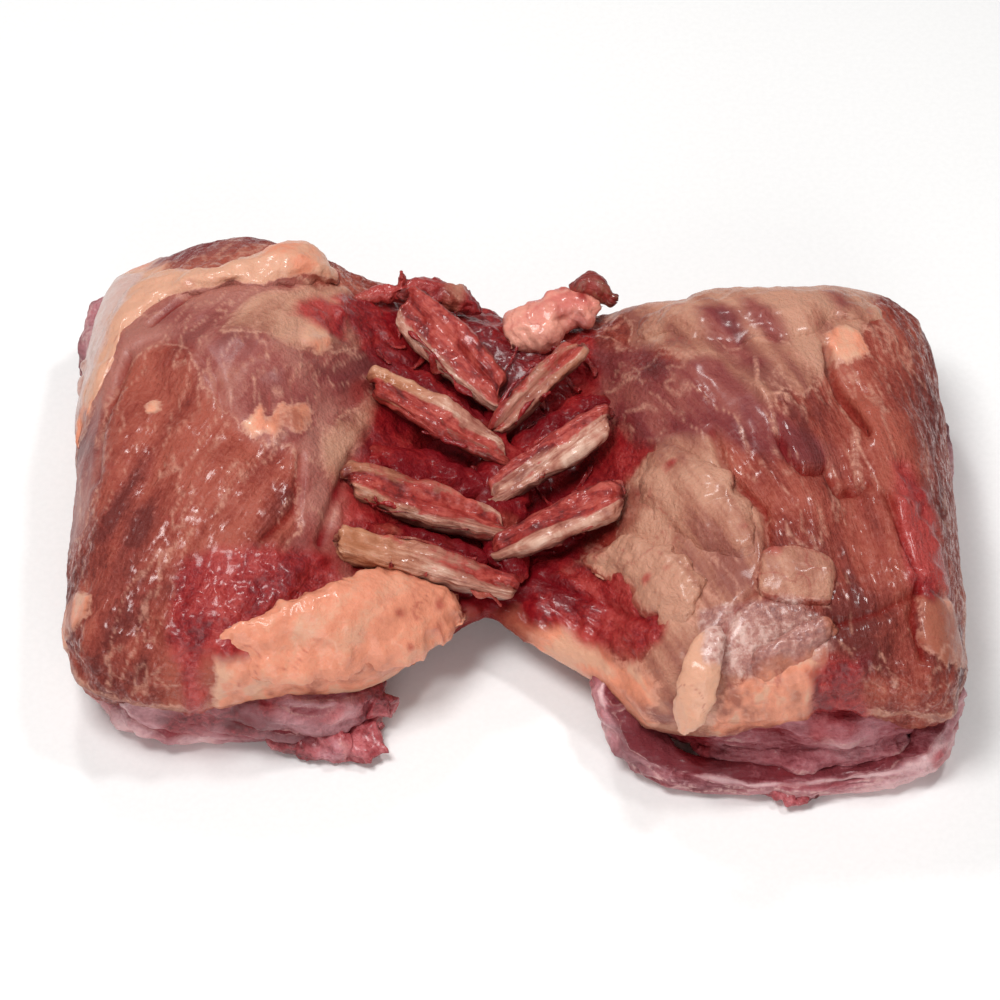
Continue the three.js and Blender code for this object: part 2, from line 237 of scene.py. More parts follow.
def loaf_points(x: Array, turn: Array) -> Array:
    """The loaf's skin. Over the top a section is a superellipse arc from the front brim over the crest to the
    back brim, and below it a second arc that comes in towards the foot; both end caps close as superellipses.

    Args:
        x: Place along the loaf.
        turn: Place round the section, from 0 at the front brim to 1.

    Returns:
        The points, in millimetres.
    """
    front, back, brim, crest = stations(x)
    middle, half = (front + back) / 2, (back - front) / 2
    cap_y, cap_z = cap_scales(x)
    over = np.pi * np.clip(turn / TOP_SHARE, 0, 1)
    under = np.pi * np.clip((turn - TOP_SHARE) / (1 - TOP_SHARE), 0, 1)
    down = np.abs(np.sin(under)) ** (2 / WALL)
    top_y = -half * signed_power(np.cos(over), 2 / DOME)
    top_z = brim + (crest - brim) * np.abs(np.sin(over)) ** (2 / DOME)
    top_z = top_z + swells(HUMPS, x, middle + top_y * cap_y) * np.sin(over)
    low_y = (half - UNDERCUT * down) * signed_power(np.cos(under), 2 / WALL)
    low_z = brim - (brim + 2) * down
    on_top = turn <= TOP_SHARE
    y = middle + np.where(on_top, top_y, low_y) * cap_y
    z = CORE_HEIGHT + (np.where(on_top, top_z, low_z) - CORE_HEIGHT) * cap_z
    points = np.stack(np.broadcast_arrays(x, y, z), -1)
    swell = (1 + UNEVEN_AMOUNT / half * noise(points, UNEVEN_SIZE)) ** cap_y
    points[..., 1] = middle + (points[..., 1] - middle) * swell
    points[..., 2] += UNEVEN_AMOUNT * cap_z * noise(points, UNEVEN_SIZE * 0.8)
    points[..., 2] = np.maximum(points[..., 2], 0)
    return points


def curve_points(stops: Array, t: Array) -> Array:
    """A centripetal Catmull-Rom curve through stops, with the end stops mirrored to give the end slopes.

    Args:
        stops: The points it goes through.
        t: Where it is read, from 0 to 1, with each span an equal share.

    Returns:
        The curve's points.
    """
    padded = np.vstack([2 * stops[0] - stops[1], stops, 2 * stops[-1] - stops[-2]])
    spans = len(stops) - 1
    i = np.clip(np.floor(t * spans).astype(int), 0, spans - 1)
    w = (t * spans - i)[:, None]
    a, b, c, d = (padded[i + k] for k in range(4))
    pairs = (a, b), (b, c), (c, d)
    step = [np.maximum(np.linalg.norm(q - p, axis=1) ** 0.5, 1e-4)[:, None] for p, q in pairs]
    out_of = ((b - a) / step[0] - (c - a) / (step[0] + step[1]) + (c - b) / step[1]) * step[1]
    into = ((c - b) / step[1] - (d - b) / (step[1] + step[2]) + (d - c) / step[2]) * step[1]
    return (
        b
        + out_of * w
        + (3 * (c - b) - 2 * out_of - into) * w**2
        + (2 * (b - c) + out_of + into) * w**3
    )


# ---- Surfaces as grids of points ----


@dataclass
class Skin:
    """A closed surface: rings of points from end to end, whose first and last ring stand for a pole."""

    points: Array

    def normals(self) -> Array:
        """Unit normals from the two tangents at each point, turned to face outwards.

        Returns:
            One normal for each point.
        """
        along = np.gradient(self.points, axis=0)
        around = (np.roll(self.points, -1, 1) - np.roll(self.points, 1, 1)) / 2
        cross = np.cross(along, around)
        length = np.linalg.norm(cross, axis=-1, keepdims=True)
        out = np.divide(cross, length, out=np.zeros_like(cross), where=length > 1e-9)
        ring = self.points[len(self.points) // 2]
        facing = np.sum((ring - ring.mean(0)) * out[len(out) // 2])
        return out if facing > 0 else -out

    def moved(self, distance: Array) -> Skin:
        """The same surface with each point moved along its normal, and kept inside the solids' own box.

        Args:
            distance: How far each point moves, in millimetres.

        Returns:
            The moved surface.
        """
        points = np.clip(self.points + self.normals() * distance[..., None], BOX_LOW, BOX_HIGH)
        points[0], points[-1] = points[0].mean(0), points[-1].mean(0)
        return Skin(points)

    def vertices(self, values: Array) -> Array:
        """Values of the grid's points in the order of the mesh's vertices."""
        inner = values[1:-1].reshape(-1, *values.shape[2:])
        return np.concatenate([values[0, :1], inner, values[-1, :1]])

    def faces(self) -> tuple[Array, Array]:
        """The surface's faces, as vertex numbers.

        Returns:
            Quads between the inner rings, and triangles at the poles.
        """
        rows, around = self.points.shape[:2]
        at = 1 + np.arange((rows - 2) * around).reshape(rows - 2, around)
        after = np.roll(at, -1, 1)
        quads = np.stack([at[:-1], after[:-1], after[1:], at[1:]], -1).reshape(-1, 4)
        last = 1 + (rows - 2) * around
        head = np.stack([np.zeros(around, int), after[0], at[0]], -1)
        tail = np.stack([np.full(around, last), at[-1], after[-1]], -1)
        return quads, np.concatenate([head, tail])


def signed_volume(verts: Array, quads: Array, tris: Array) -> float:
    """Volume inside the faces, as the sum of the tetrahedra from the origin to each of them.

    Args:
        verts: The vertices.
        quads: Faces with four corners.
        tris: Faces with three corners.

    Returns:
        The volume, which is negative if the faces look inwards.
    """
    every = np.concatenate([quads[:, [0, 1, 2]], quads[:, [0, 2, 3]], tris])
    a, b, c = (verts[every[:, k]] for k in range(3))
    return float(np.sum(a * np.cross(b, c)) / 6)


def build_mesh(name: str, parts: Sequence[tuple[Skin, Look]]) -> bpy.types.Object:
    """One mesh object from closed surfaces, with their values as vertex attributes.

    Args:
        name: Name of the object.
        parts: The surfaces, in millimetres, and for each its values by attribute name: one number, or three,
            for each point.

    Returns:
        The object, linked to the scene.
    """
    verts, quads, tris, start = [], [], [], 0
    for skin, _ in parts:
        points = skin.vertices(skin.points)
        four, three = skin.faces()
        if signed_volume(points, four, three) < 0:
            four, three = four[:, ::-1], three[:, ::-1]
        verts.append(points)
        quads.append(four + start)
        tris.append(three + start)
        start += len(points)
    four, three = np.concatenate(quads), np.concatenate(tris)
    mesh = bpy.data.meshes.new(name)
    mesh.vertices.add(start)
    mesh.vertices.foreach_set("co", (np.concatenate(verts) * MM).astype(np.float32).ravel())
    corners = np.concatenate([four.ravel(), three.ravel()])
    mesh.loops.add(len(corners))
    mesh.loops.foreach_set("vertex_index", corners.astype(np.int32))
    sizes = np.concatenate([np.full(len(four), 4), np.full(len(three), 3)])
    mesh.polygons.add(len(sizes))
    mesh.polygons.foreach_set("loop_start", (np.cumsum(sizes) - sizes).astype(np.int32))
    mesh.polygons.foreach_set("use_smooth", np.ones(len(sizes), bool))
    for key in parts[0][1]:
        column = np.concatenate([skin.vertices(values[key]) for skin, values in parts])
        if column.ndim == 2:
            mesh.attributes.new(key, "FLOAT_VECTOR", "POINT").data.foreach_set("vector", column.ravel())
        else:
            mesh.attributes.new(key, "FLOAT", "POINT").data.foreach_set("value", column)
    mesh.update(calc_edges=True)
    mesh.validate()
    piece = bpy.data.objects.new(name, mesh)
    bpy.context.scene.collection.objects.link(piece)
    return piece


FINE_ANGLES = 2881  # how finely a section is measured
NUDGE = 1e-4  # share of a strand on both sides of a place over which its direction is taken


@dataclass(frozen=True)
class Strand:
    """A superellipse section carried through stops: x, y, z, half width and half height, with rounded tips.

    A draped strand lies half sunk in the loaf's top, its z is the height over that top, and its rims sink in
    by sink millimetres. Slanted ends reach slant millimetres further on one side than in the middle. Ragged
    edges and tips stray by about ragged millimetres.
    """

    stops: tuple[tuple[float, ...], ...]
    square: float = 2.0
    tip: float = 3.0
    roll: float = 0.0
    draped: bool = False
    ragged: float = 0.0
    sink: float = 0.0
    slant: float = 0.0

    def angles(self, sides: int, wide: float, high: float) -> Array:
        """Angles round the section that lie equal lengths of skin apart.

        Args:
            sides: How many angles.
            wide: The section's half width.
            high: The section's half height.

        Returns:
            The angles, from 0.
        """
        fine = np.linspace(0, 2 * np.pi, FINE_ANGLES)
        y = wide * signed_power(np.cos(fine), 2 / self.square)
        z = high * signed_power(np.sin(fine), 2 / self.square)
        length = np.concatenate([[0], np.cumsum(np.hypot(np.diff(y), np.diff(z)))])
        return np.interp(np.arange(sides) / sides * length[-1], length, fine)

    def skin(self, steps: int, sides: int) -> tuple[Skin, Array]:
        """The strand's surface, and where each of its points lies.

        Args:
            steps: Spans along the strand, closer together near its tips.
            sides: Points round a section.

        Returns:
            The surface, and five numbers for each point: millimetres along the strand, millimetres across it,
            share from 0 to 1 along it, and shares from -1 to 1 across the section and up the section.
        """
        stops = np.array(self.stops, float)
        t = (1 - np.cos(np.pi * np.arange(steps + 1) / steps)) / 2
        taper = np.sqrt(np.maximum(0, 1 - np.abs(2 * t - 1) ** (2 * self.tip)))
        places = np.linspace(0, 1, len(stops))
        wide = hermite(places, stops[:, 3], t) * taper
        high = hermite(places, stops[:, 4], t) * taper
        centre = curve_points(stops[:, :3], t)
        after, before = (curve_points(stops[:, :3], np.clip(t + step, 0, 1)) for step in (NUDGE, -NUDGE))
        ahead = after - before
        ahead /= np.linalg.norm(ahead, axis=1, keepdims=True)
        across = np.cross(ahead, (0, 0, 1))
        across /= np.linalg.norm(across, axis=1, keepdims=True)
        over = np.tile((0.0, 0.0, 1.0), (len(t), 1)) if self.draped else np.cross(across, ahead)
        cos, sin = np.cos(self.roll), np.sin(self.roll)
        across, over = across * cos + np.cross(ahead, across) * sin, over * cos + np.cross(ahead, over) * sin
        a = self.angles(sides, wide.max(), high.max())
        side = signed_power(np.cos(a), 2 / self.square)[None, :, None]
        lift = signed_power(np.sin(a), 2 / self.square)[None, :, None]
        points = centre[:, None] + across[:, None] * wide[:, None, None] * side
        points = points + ahead[:, None] * (self.slant * side * (np.abs(2 * t - 1) ** 6)[:, None, None])
        if self.ragged:
            fray = self.ragged * fractal(points, 7.0, 4, 5.0) * np.abs(side[..., 0])
            points = points + across[:, None] * (fray * np.minimum(1, wide / 3)[:, None])[..., None]
            fray = self.ragged * fractal(points, 9.0, 3, 50.0) * (1 - taper[:, None]) * 1.5
            points = points + ahead[:, None] * fray[..., None]
        if self.draped:
            rim = np.maximum(np.abs(side[..., 0]), np.abs(2 * t - 1)[:, None] ** 4) ** 2.5
            points[..., 2] += top_at(points[..., 0], points[..., 1]) - self.sink * rim
        points = points + over[:, None] * high[:, None, None] * lift
        points[..., 2] = np.maximum(points[..., 2], 0)
        points[0], points[-1] = points[0].mean(0), points[-1].mean(0)
        length = np.concatenate([[0], np.cumsum(np.linalg.norm(np.diff(centre, axis=0), axis=1))])
        side, lift = side[..., 0], lift[..., 0]
        across = wide.max() * side + 1.3 * high.max() * lift
        places = length[:, None], across, t[:, None], side, lift
        return Skin(points), np.stack(np.broadcast_arrays(*places), -1)


# ---- What covers the meat, by place on the plan ----


class Tissue(Enum):
    """What shows at a place. Its value names the vertex attribute: millimetres inside the tissue's edge."""

    SKIN = "skin"
    PURPLE = "purple"
    TAN = "tan"
    WET = "wet"
    FAT = "fat"
    SILVER = "silver"


def line_distance(line: Sequence[tuple[float, float]], x: Array, y: Array) -> Array:
    """Distance on the plan to the nearest of a line's straight parts.

    Args:
        line: The line's points.
        x: Places across the plan.
        y: Places along the plan.

    Returns:
        The distance of each place, in millimetres.
    """
    near = np.full(x.shape, np.inf)
    for (ax, ay), (bx, by) in zip(line, line[1:]):
        dx, dy = bx - ax, by - ay
        t = np.clip(((x - ax) * dx + (y - ay) * dy) / (dx * dx + dy * dy), 0, 1)
        near = np.minimum(near, np.hypot(x - ax - t * dx, y - ay - t * dy))
    return near


@dataclass(frozen=True)
class Patch:
    """One patch of tissue, by its outline on the plan in millimetres."""

    tissue: Tissue
    outline: tuple[tuple[float, float], ...]

    def inside(self, x: Array, y: Array) -> Array:
        """Distance to the outline, above 0 inside it. An odd number of crossings to the right means inside.

        Args:
            x: Places across the plan.
            y: Places along the plan.

        Returns:
            The signed distance of each place, in millimetres.
        """
        ring = self.outline + self.outline[:1]
        near = line_distance(ring, x, y)
        odd = np.zeros(x.shape, bool)
        for (ax, ay), (bx, by) in zip(ring, ring[1:]):
            if ay != by:
                odd ^= ((ay > y) != (by > y)) & (x < (bx - ax) * (y - ay) / (by - ay) + ax)
        return np.where(odd, near, -near)


@dataclass(frozen=True)
class Seam:
    """A crease, or a raised line if depth is below 0, along a line on the plan."""

    line: tuple[tuple[float, float], ...]
    width: float
    depth: float

    def relief(self, x: Array, y: Array) -> Array:
        """A bell curve of the distance to the line, downwards, with round ends."""
        return -self.depth * np.exp(-((line_distance(self.line, x, y) / self.width) ** 2))


FREE = -9.0  # a tissue's value, in millimetres, where there is none near; deep inside, it is as much above 0

PATCHES = (
    # left lobe
    Patch(Tissue.SKIN, ((-128, -20), (-121, -26), (-117, -11), (-117, 7), (-116, 24), (-113, 32),
        (-107, 36), (-101, 36), (-95, 31), (-89, 21), (-85, 10), (-77, 0), (-69, -3), (-62, -2), (-59, -12),
        (-60, -26), (-66, -39), (-50, -46), (-26, -20), (-30, 60), (-90, 66), (-128, 40))),
    Patch(Tissue.TAN, ((-83, 37), (-77, 52), (-63, 61), (-50, 70), (-36, 66), (-42, 52), (-52, 40),
        (-65, 34))),
    Patch(Tissue.TAN, ((-52, 12), (-43, 30), (-33, 40), (-35, 22), (-46, 8), (-50, -8), (-54, -6))),
    Patch(Tissue.PURPLE, ((-64, 14), (-54, 30), (-42, 47), (-32, 52), (-32, 46), (-39, 38), (-49, 26),
        (-57, 14))),
    Patch(Tissue.PURPLE, ((-96, 74), (-108, 78), (-106, 92), (-84, 98), (-74, 88), (-86, 78))),
    Patch(Tissue.FAT, ((-134, 14), (-132, 60), (-122, 90), (-107, 90), (-103, 76), (-113, 60), (-119, 45),
        (-124, 16))),
    Patch(Tissue.FAT, ((-78, 2), (-74, 6), (-72, 11), (-70, 6), (-71, 1), (-74, -1))),
    Patch(Tissue.FAT, ((-71, 2), (-68, 8), (-66, 13), (-64, 8), (-66, 2), (-68, -1))),
    Patch(Tissue.FAT, ((-66, 4), (-63, 12), (-56, 18), (-59, 9), (-62, 3))),
    Patch(Tissue.FAT, ((-106, 13), (-103, 15), (-100, 13), (-102, 10), (-105, 10))),
    Patch(Tissue.FAT, ((-62, 42), (-60, 46), (-56, 45), (-54, 41), (-57, 37), (-61, 38))),
    Patch(Tissue.WET, ((-64, 55), (-57, 61), (-49, 58), (-50, 46), (-57, 46), (-65, 48))),
    Patch(Tissue.WET, ((-92, -41), (-76, -37), (-51, -33), (-45, -42), (-56, -58), (-75, -64), (-85, -66),
        (-89, -74), (-94, -61))),
    Patch(Tissue.FAT, ((-128, -40), (-122, -41), (-118, -46), (-119, -51), (-122, -53), (-128, -49))),
    Patch(Tissue.FAT, ((-83, -63), (-74, -60), (-60, -59), (-46, -50), (-14, -40), (-20, -70), (-80, -82))),
    # trough
    Patch(Tissue.WET, ((-54, 62), (-30, 86), (20, 86), (26, 62), (24, 30), (40, 4), (24, -8), (16, -22),
        (-2, -34), (-44, -38), (-50, -24), (-44, 4), (-40, 40))),
    # right lobe
    Patch(Tissue.TAN, ((24, 72), (32, 62), (36, 50), (43, 40), (51, 28), (58, 14), (65, -2), (71, 3),
        (77, 13), (82, 10), (87, 17), (90, 26), (98, 34), (105, 44), (110, 64), (106, 82), (60, 84))),
    Patch(Tissue.FAT, ((92, 38), (97, 43), (101, 40), (102, 33), (96, 29), (92, 32))),
    Patch(Tissue.PURPLE, ((54, 51), (62, 50), (69, 36), (75, 27), (71, 18), (64, 26), (57, 38))),
    Patch(Tissue.PURPLE, ((66, 52), (71, 51), (80, 35), (75, 30))),
    Patch(Tissue.PURPLE, ((90, 60), (99, 58), (101, 50), (95, 46))),
    Patch(Tissue.PURPLE, ((20, 64), (28, 56), (42, 39), (49, 29), (60, 29), (67, 18), (74, 7), (82, 0),
        (90, -5), (91, -13), (80, -13), (73, -12), (64, -8), (56, 1), (39, 5), (32, 0), (20, 8), (24, 28))),
    Patch(Tissue.TAN, ((38, 10), (56, 3), (60, -16), (68, -30), (70, -44), (62, -60), (40, -66), (44, -46),
        (30, -24), (30, -12))),
    Patch(Tissue.WET, ((-1, -25), (8, -23), (19, -24), (31, -34), (40, -44), (43, -51), (40, -60),
        (33, -63), (25, -52), (13, -41), (4, -38))),
    Patch(Tissue.FAT, ((-12, -28), (0, -32), (11, -38), (24, -49), (36, -62), (44, -90), (-14, -60))),
    Patch(Tissue.TAN, ((36, -62), (48, -56), (67, -52), (66, -68), (58, -84), (38, -84), (30, -66))),
    Patch(Tissue.SILVER, ((-134, 26), (-131, 60), (-122, 84), (-112, 72), (-119, 54), (-124, 26))),
    Patch(Tissue.SILVER, ((51, -56), (62, -57), (73, -56), (86, -58), (88, -68), (75, -71), (62, -75),
        (52, -74))),
    Patch(Tissue.FAT, ((50, -84), (58, -75), (70, -71), (87, -65), (84, -74), (78, -82), (70, -96),
        (50, -96))),
    Patch(Tissue.WET, ((106, -10), (111, -8), (118, -26), (120, -42), (115, -52), (109, -48), (106, -30))),
    Patch(Tissue.FAT, ((112, -52), (121, -50), (124, -60), (118, -68), (111, -64))),
    Patch(Tissue.WET, ((80, -73), (87, -69), (98, -68), (96, -76), (82, -79))),
)

# lighter and darker spots: x, y, rx, ry, change of tone
BLOTS = (
    (-95, -55, 26, 12, -0.1), (-108, -30, 10, 30, -0.2), (-80, -10, 16, 18, 0.15), (-100, 15, 12, 14, 0.12),
    (-62, -22, 10, 14, -0.15), (-90, 40, 14, 10, -0.15), (-60, 40, 14, 12, 0.1), (-66, 60, 14, 8, 0.15),
    (92, 30, 12, 16, 0.1), (84, -5, 10, 14, -0.1), (104, -20, 8, 26, 0.1), (96, -40, 14, 10, 0.15),
    (96, -62, 18, 8, -0.15), (118, 0, 8, 40, -0.2), (50, 18, 10, 10, 0.1), (60, 60, 20, 10, 0.1),
    (44, -50, 8, 12, 0.2), (56, -12, 10, 10, 0.2), (36, -24, 10, 6, 0.25), (-8, 22, 26, 48, -0.4),
    (-118, 45, 18, 30, 0.5), (-95, 62, 30, 12, 0.4), (-64, 8, 12, 10, -0.3), (91, 42, 5, 6, -0.35),
    (117, -58, 8, 10, -0.55), (22, -42, 16, 12, 0.05), (-72, -48, 22, 14, 0.05), (113, -30, 7, 22, 0.3),
    (-52, -6, 8, 22, 0.3), (-57, 52, 8, 8, 0.1), (12, -52, 18, 9, 0.3), (64, 6, 12, 12, 0.15),
    (80, 64, 26, 8, 0.2), (38, -38, 8, 12, 0.25), (112, 60, 10, 14, -0.15), (-110, 88, 14, 8, -0.1),
    (70, -76, 16, 6, -0.2), (-88, -56, 14, 12, 0.2), (-123, 18, 8, 14, -0.35), (-121, -46, 8, 9, 0.25),
    (104, 54, 10, 12, 0.1),
)

SEAMS = (
    Seam(((-95, 1), (-80, 21), (-66, 33), (-54, 43)), 1.1, -0.9),
    Seam(((-92, 6), (-77, 24), (-62, 36)), 1.3, 1.2),
    Seam(((-117, 20), (-112, 36), (-103, 39), (-92, 31), (-85, 19), (-82, 6)), 1.3, 1.05),
    Seam(((-60, -6), (-61, -22), (-70, -34)), 1.2, 1.5),
    Seam(((-46, 4), (-50, -12), (-54, -30)), 1.5, 1.8),
    Seam(((-118, -10), (-118, 10), (-112, 34)), 1.4, 1.2),
    Seam(((91, 33), (92, 24), (94, 16), (97, 8), (100, 1)), 1.2, 4.0),
    Seam(((74, -1), (77, -11), (81, -16), (88, -14), (91, -21), (98, -18)), 1.2, 3.4),
    Seam(((66, 20), (72, 12), (78, 12), (84, 2)), 1.0, -0.8),
    Seam(((70, 28), (70, 18), (73, 8), (74, -2)), 1.3, -1.0),
    Seam(((-83, 10), (-74, 20), (-58, 30)), 1.0, -0.8),
    Seam(((-72, 34), (-66, 44), (-60, 48)), 1.0, -0.7),
    Seam(((97, 1), (96, -10), (97, -18)), 1.8, -1.2),
    Seam(((104, -22), (108, -36), (111, -44)), 1.2, 2.4),
    Seam(((56, 2), (60, -16), (69, -28), (70, -42)), 1.3, 2.1),
    Seam(((70, -42), (68, -52), (60, -58), (52, -72)), 1.2, 1.5),
    Seam(((88, -62), (100, -58), (112, -50)), 1.3, 1.35),
    Seam(((112, -48), (109, -58), (112, -68)), 1.2, 1.8),
    Seam(((3, -20), (14, -30), (26, -40), (36, -52)), 1.3, 1.35),
    Seam(((-106, 46), (-96, 56), (-84, 62), (-66, 62)), 1.5, 1.5),
)


def tissue_values(x: Array, y: Array) -> dict[str, Array]:
    """For each tissue, the largest of its patches' distances, at most 9 millimetres either way.

    Args:
        x: Places across the plan.
        y: Places along the plan.

    Returns:
        The distances by the tissue's attribute name.
    """
    values = {tissue.value: np.full(x.shape, FREE) for tissue in Tissue}
    for patch in PATCHES:
        key = patch.tissue.value
        values[key] = np.maximum(values[key], patch.inside(x, y))
    return {key: np.clip(value, FREE, -FREE) for key, value in values.items()}


# where the fibres' slope on the plan is given, and that slope
GRAIN_X = np.array([-128, -100, -75, -50, -20, 0, 20, 50, 80, 100, 128], float)
GRAIN_SLOPE = np.array([1.8, 1.3, 1.0, 0.7, 0.4, 0.0, -0.4, -0.8, -1.3, -2.2, -3.2])


def grain_at(points: Array) -> Array:
    """Coordinates that follow the muscle's fibres, which fan out from the spine.

    The fibres are the curves y = F(x) + c, where F sums the slope along the loaf.

    Args:
        points: Places, in millimetres.

    Returns:
        The length along a fibre, the distance across the fibres, and the height.
    """
    fine = np.linspace(LEFT_END - 8, RIGHT_END + 8, 600)
    slope = np.interp(fine, GRAIN_X, GRAIN_SLOPE)
    step = fine[1] - fine[0]
    rise, length = np.cumsum(slope) * step, np.cumsum(np.hypot(1, slope)) * step
    x = points[..., 0]
    lean = np.hypot(1, np.interp(x, fine, slope))
    across = (points[..., 1] - np.interp(x, fine, rise)) / lean
    return np.stack([np.interp(x, fine, length), across, points[..., 2]], -1)


def soft_step(value: Array, low: float, high: float) -> Array:
    """0 below low, 1 above high and an S-curve between them."""
    t = np.clip((value - low) / (high - low), 0, 1)
    return t * t * (3 - 2 * t)


# ---- Finishes ----

Socket = bpy.types.NodeSocket
Colour = tuple[float, float, float, float]


def linear(code: str) -> Colour:
    """A colour written as an sRGB hex code, turned linear.

    Args:
        code: The code, as # and two digits each for red, green and blue.

    Returns:
        Red, green and blue from 0 to 1, and alpha 1.
    """
    shares = [int(code[i : i + 2], 16) / 255 for i in (1, 3, 5)]
    red, green, blue = (s / 12.92 if s <= 0.04045 else ((s + 0.055) / 1.055) ** 2.4 for s in shares)
    return red, green, blue, 1.0


def even_stops(codes: Sequence[str], low: float, high: float) -> list[tuple[float, str]]:
    """Colours at even steps from low to high, as places and hex codes."""
    return list(zip(np.linspace(low, high, len(codes)).tolist(), codes))


class Kind(Enum):
    """A kind of node: its type, its settings, the inputs given in turn, and the output that is read."""

    OBJECT = "TexCoord", {}, (), "Object"
    VECTOR = "Attribute", {}, (), "Vector"
    NUMBER = "Attribute", {}, (), "Fac"
    NOISE = "TexNoise", {}, ("Vector", "Scale", "Detail", "Roughness", "Distortion"), 0
    STRETCH = "VectorMath", {"operation": "MULTIPLY"}, (0, 1), 0
    PLUS = "Math", {"operation": "ADD"}, (0, 1), 0
    MINUS = "Math", {"operation": "SUBTRACT"}, (0, 1), 0
    TIMES = "Math", {"operation": "MULTIPLY"}, (0, 1), 0
    MOST = "Math", {"operation": "MAXIMUM"}, (0, 1), 0
    SIZE = "Math", {"operation": "ABSOLUTE"}, (0,), 0
    # value, where it is low, where it is high, and what it becomes there
    BAND = "MapRange", {"interpolation_type": "SMOOTHSTEP"}, (0, 1, 2, 3, 4), 0
    # share of the second, then the first and the second: two numbers, or two colours
    BLEND = "Mix", {"data_type": "FLOAT"}, (0, 2, 3), 0
    COLOUR = "Mix", {"data_type": "RGBA"}, (0, 6, 7), 2
    RAMP = "ValToRGB", {}, (0,), 0
    BUMP = "Bump", {}, ("Height", "Distance", "Strength"), 0
    SHADER = "BsdfPrincipled", {}, (), 0
    OUTPUT = "OutputMaterial", {}, ("Surface",), 0


class Nodes:
    """A material's node tree, with the coordinates that its patterns share."""

    def __init__(self, name: str) -> None:
        """Starts an empty tree for a new material.

        Args:
            name: The material's name.
        """
        self.material = bpy.data.materials.new(name)
        self.material.use_nodes = True
        self.tree = self.material.node_tree
        self.tree.nodes.clear()
        self.mm = self.add(Kind.STRETCH, self.add(Kind.OBJECT), (1 / MM,) * 3)
        self.grain = self.add(Kind.VECTOR, attribute_name="grain")

    def add(
        self, kind: Kind, *inputs: object, stops: Sequence[tuple[float, str]] = (), **named: object
    ) -> Socket | None:
        """Adds a node with its settings, and links or sets its inputs.

        Args:
            kind: The kind of node.
            inputs: For each of the kind's inputs in turn, a socket to link or a value to set.
            stops: The places and hex codes of a ramp's colours.
            named: Inputs by name, with a capital and with _ for spaces, and the node's own settings.

        Returns:
            The kind's output, where it has one.
        """
        type_name, settings, sockets, output = kind.value
        node = self.tree.nodes.new(f"ShaderNode{type_name}")
        given = dict(zip(sockets, inputs))
        for key, value in {**settings, **named}.items():
            if key[0].isupper():
                given[key.replace("_", " ")] = value
            else:
                setattr(node, key, value)
        for key, value in given.items():
            if isinstance(value, Socket):
                self.tree.links.new(value, node.inputs[key])
            else:
                node.inputs[key].default_value = value
        elements = node.color_ramp.elements if stops else []
        while len(elements) < len(stops):
            elements.new(0.5)
        for i, (place, code) in enumerate(stops):
            elements[i].position, elements[i].color = place, linear(code)
        return node.outputs[output] if node.outputs else None

    def finish(self, shader: Socket) -> bpy.types.Material:
        """Ends the tree in a shader, and gives the material."""
        self.add(Kind.OUTPUT, shader)
        return self.material


# About how many bumps of a pattern lie in a millimetre: along the fibres, across them and in height, or all
# ways. A pattern's own scale changes them by a fifth at most.
FIBRES = (0.28, 0.9, 0.9)  # bundles of fibres about 4 mm long and 1.2 mm wide, coarser than real fibres
STREAKS = (0.06, 0.4, 0.4)  # streaks about 17 mm long and 2.5 mm wide
BONE_LINES = (0.05, 0.9, 1.0)  # lines along a rib, about 1 mm apart
BONE_SMEARS = (0.13, 0.3, 1.0)  # smears of blood about 10 mm long and 4 mm wide
DROPS = 0.6  # drops of juice and grains of fat about 1.7 mm wide


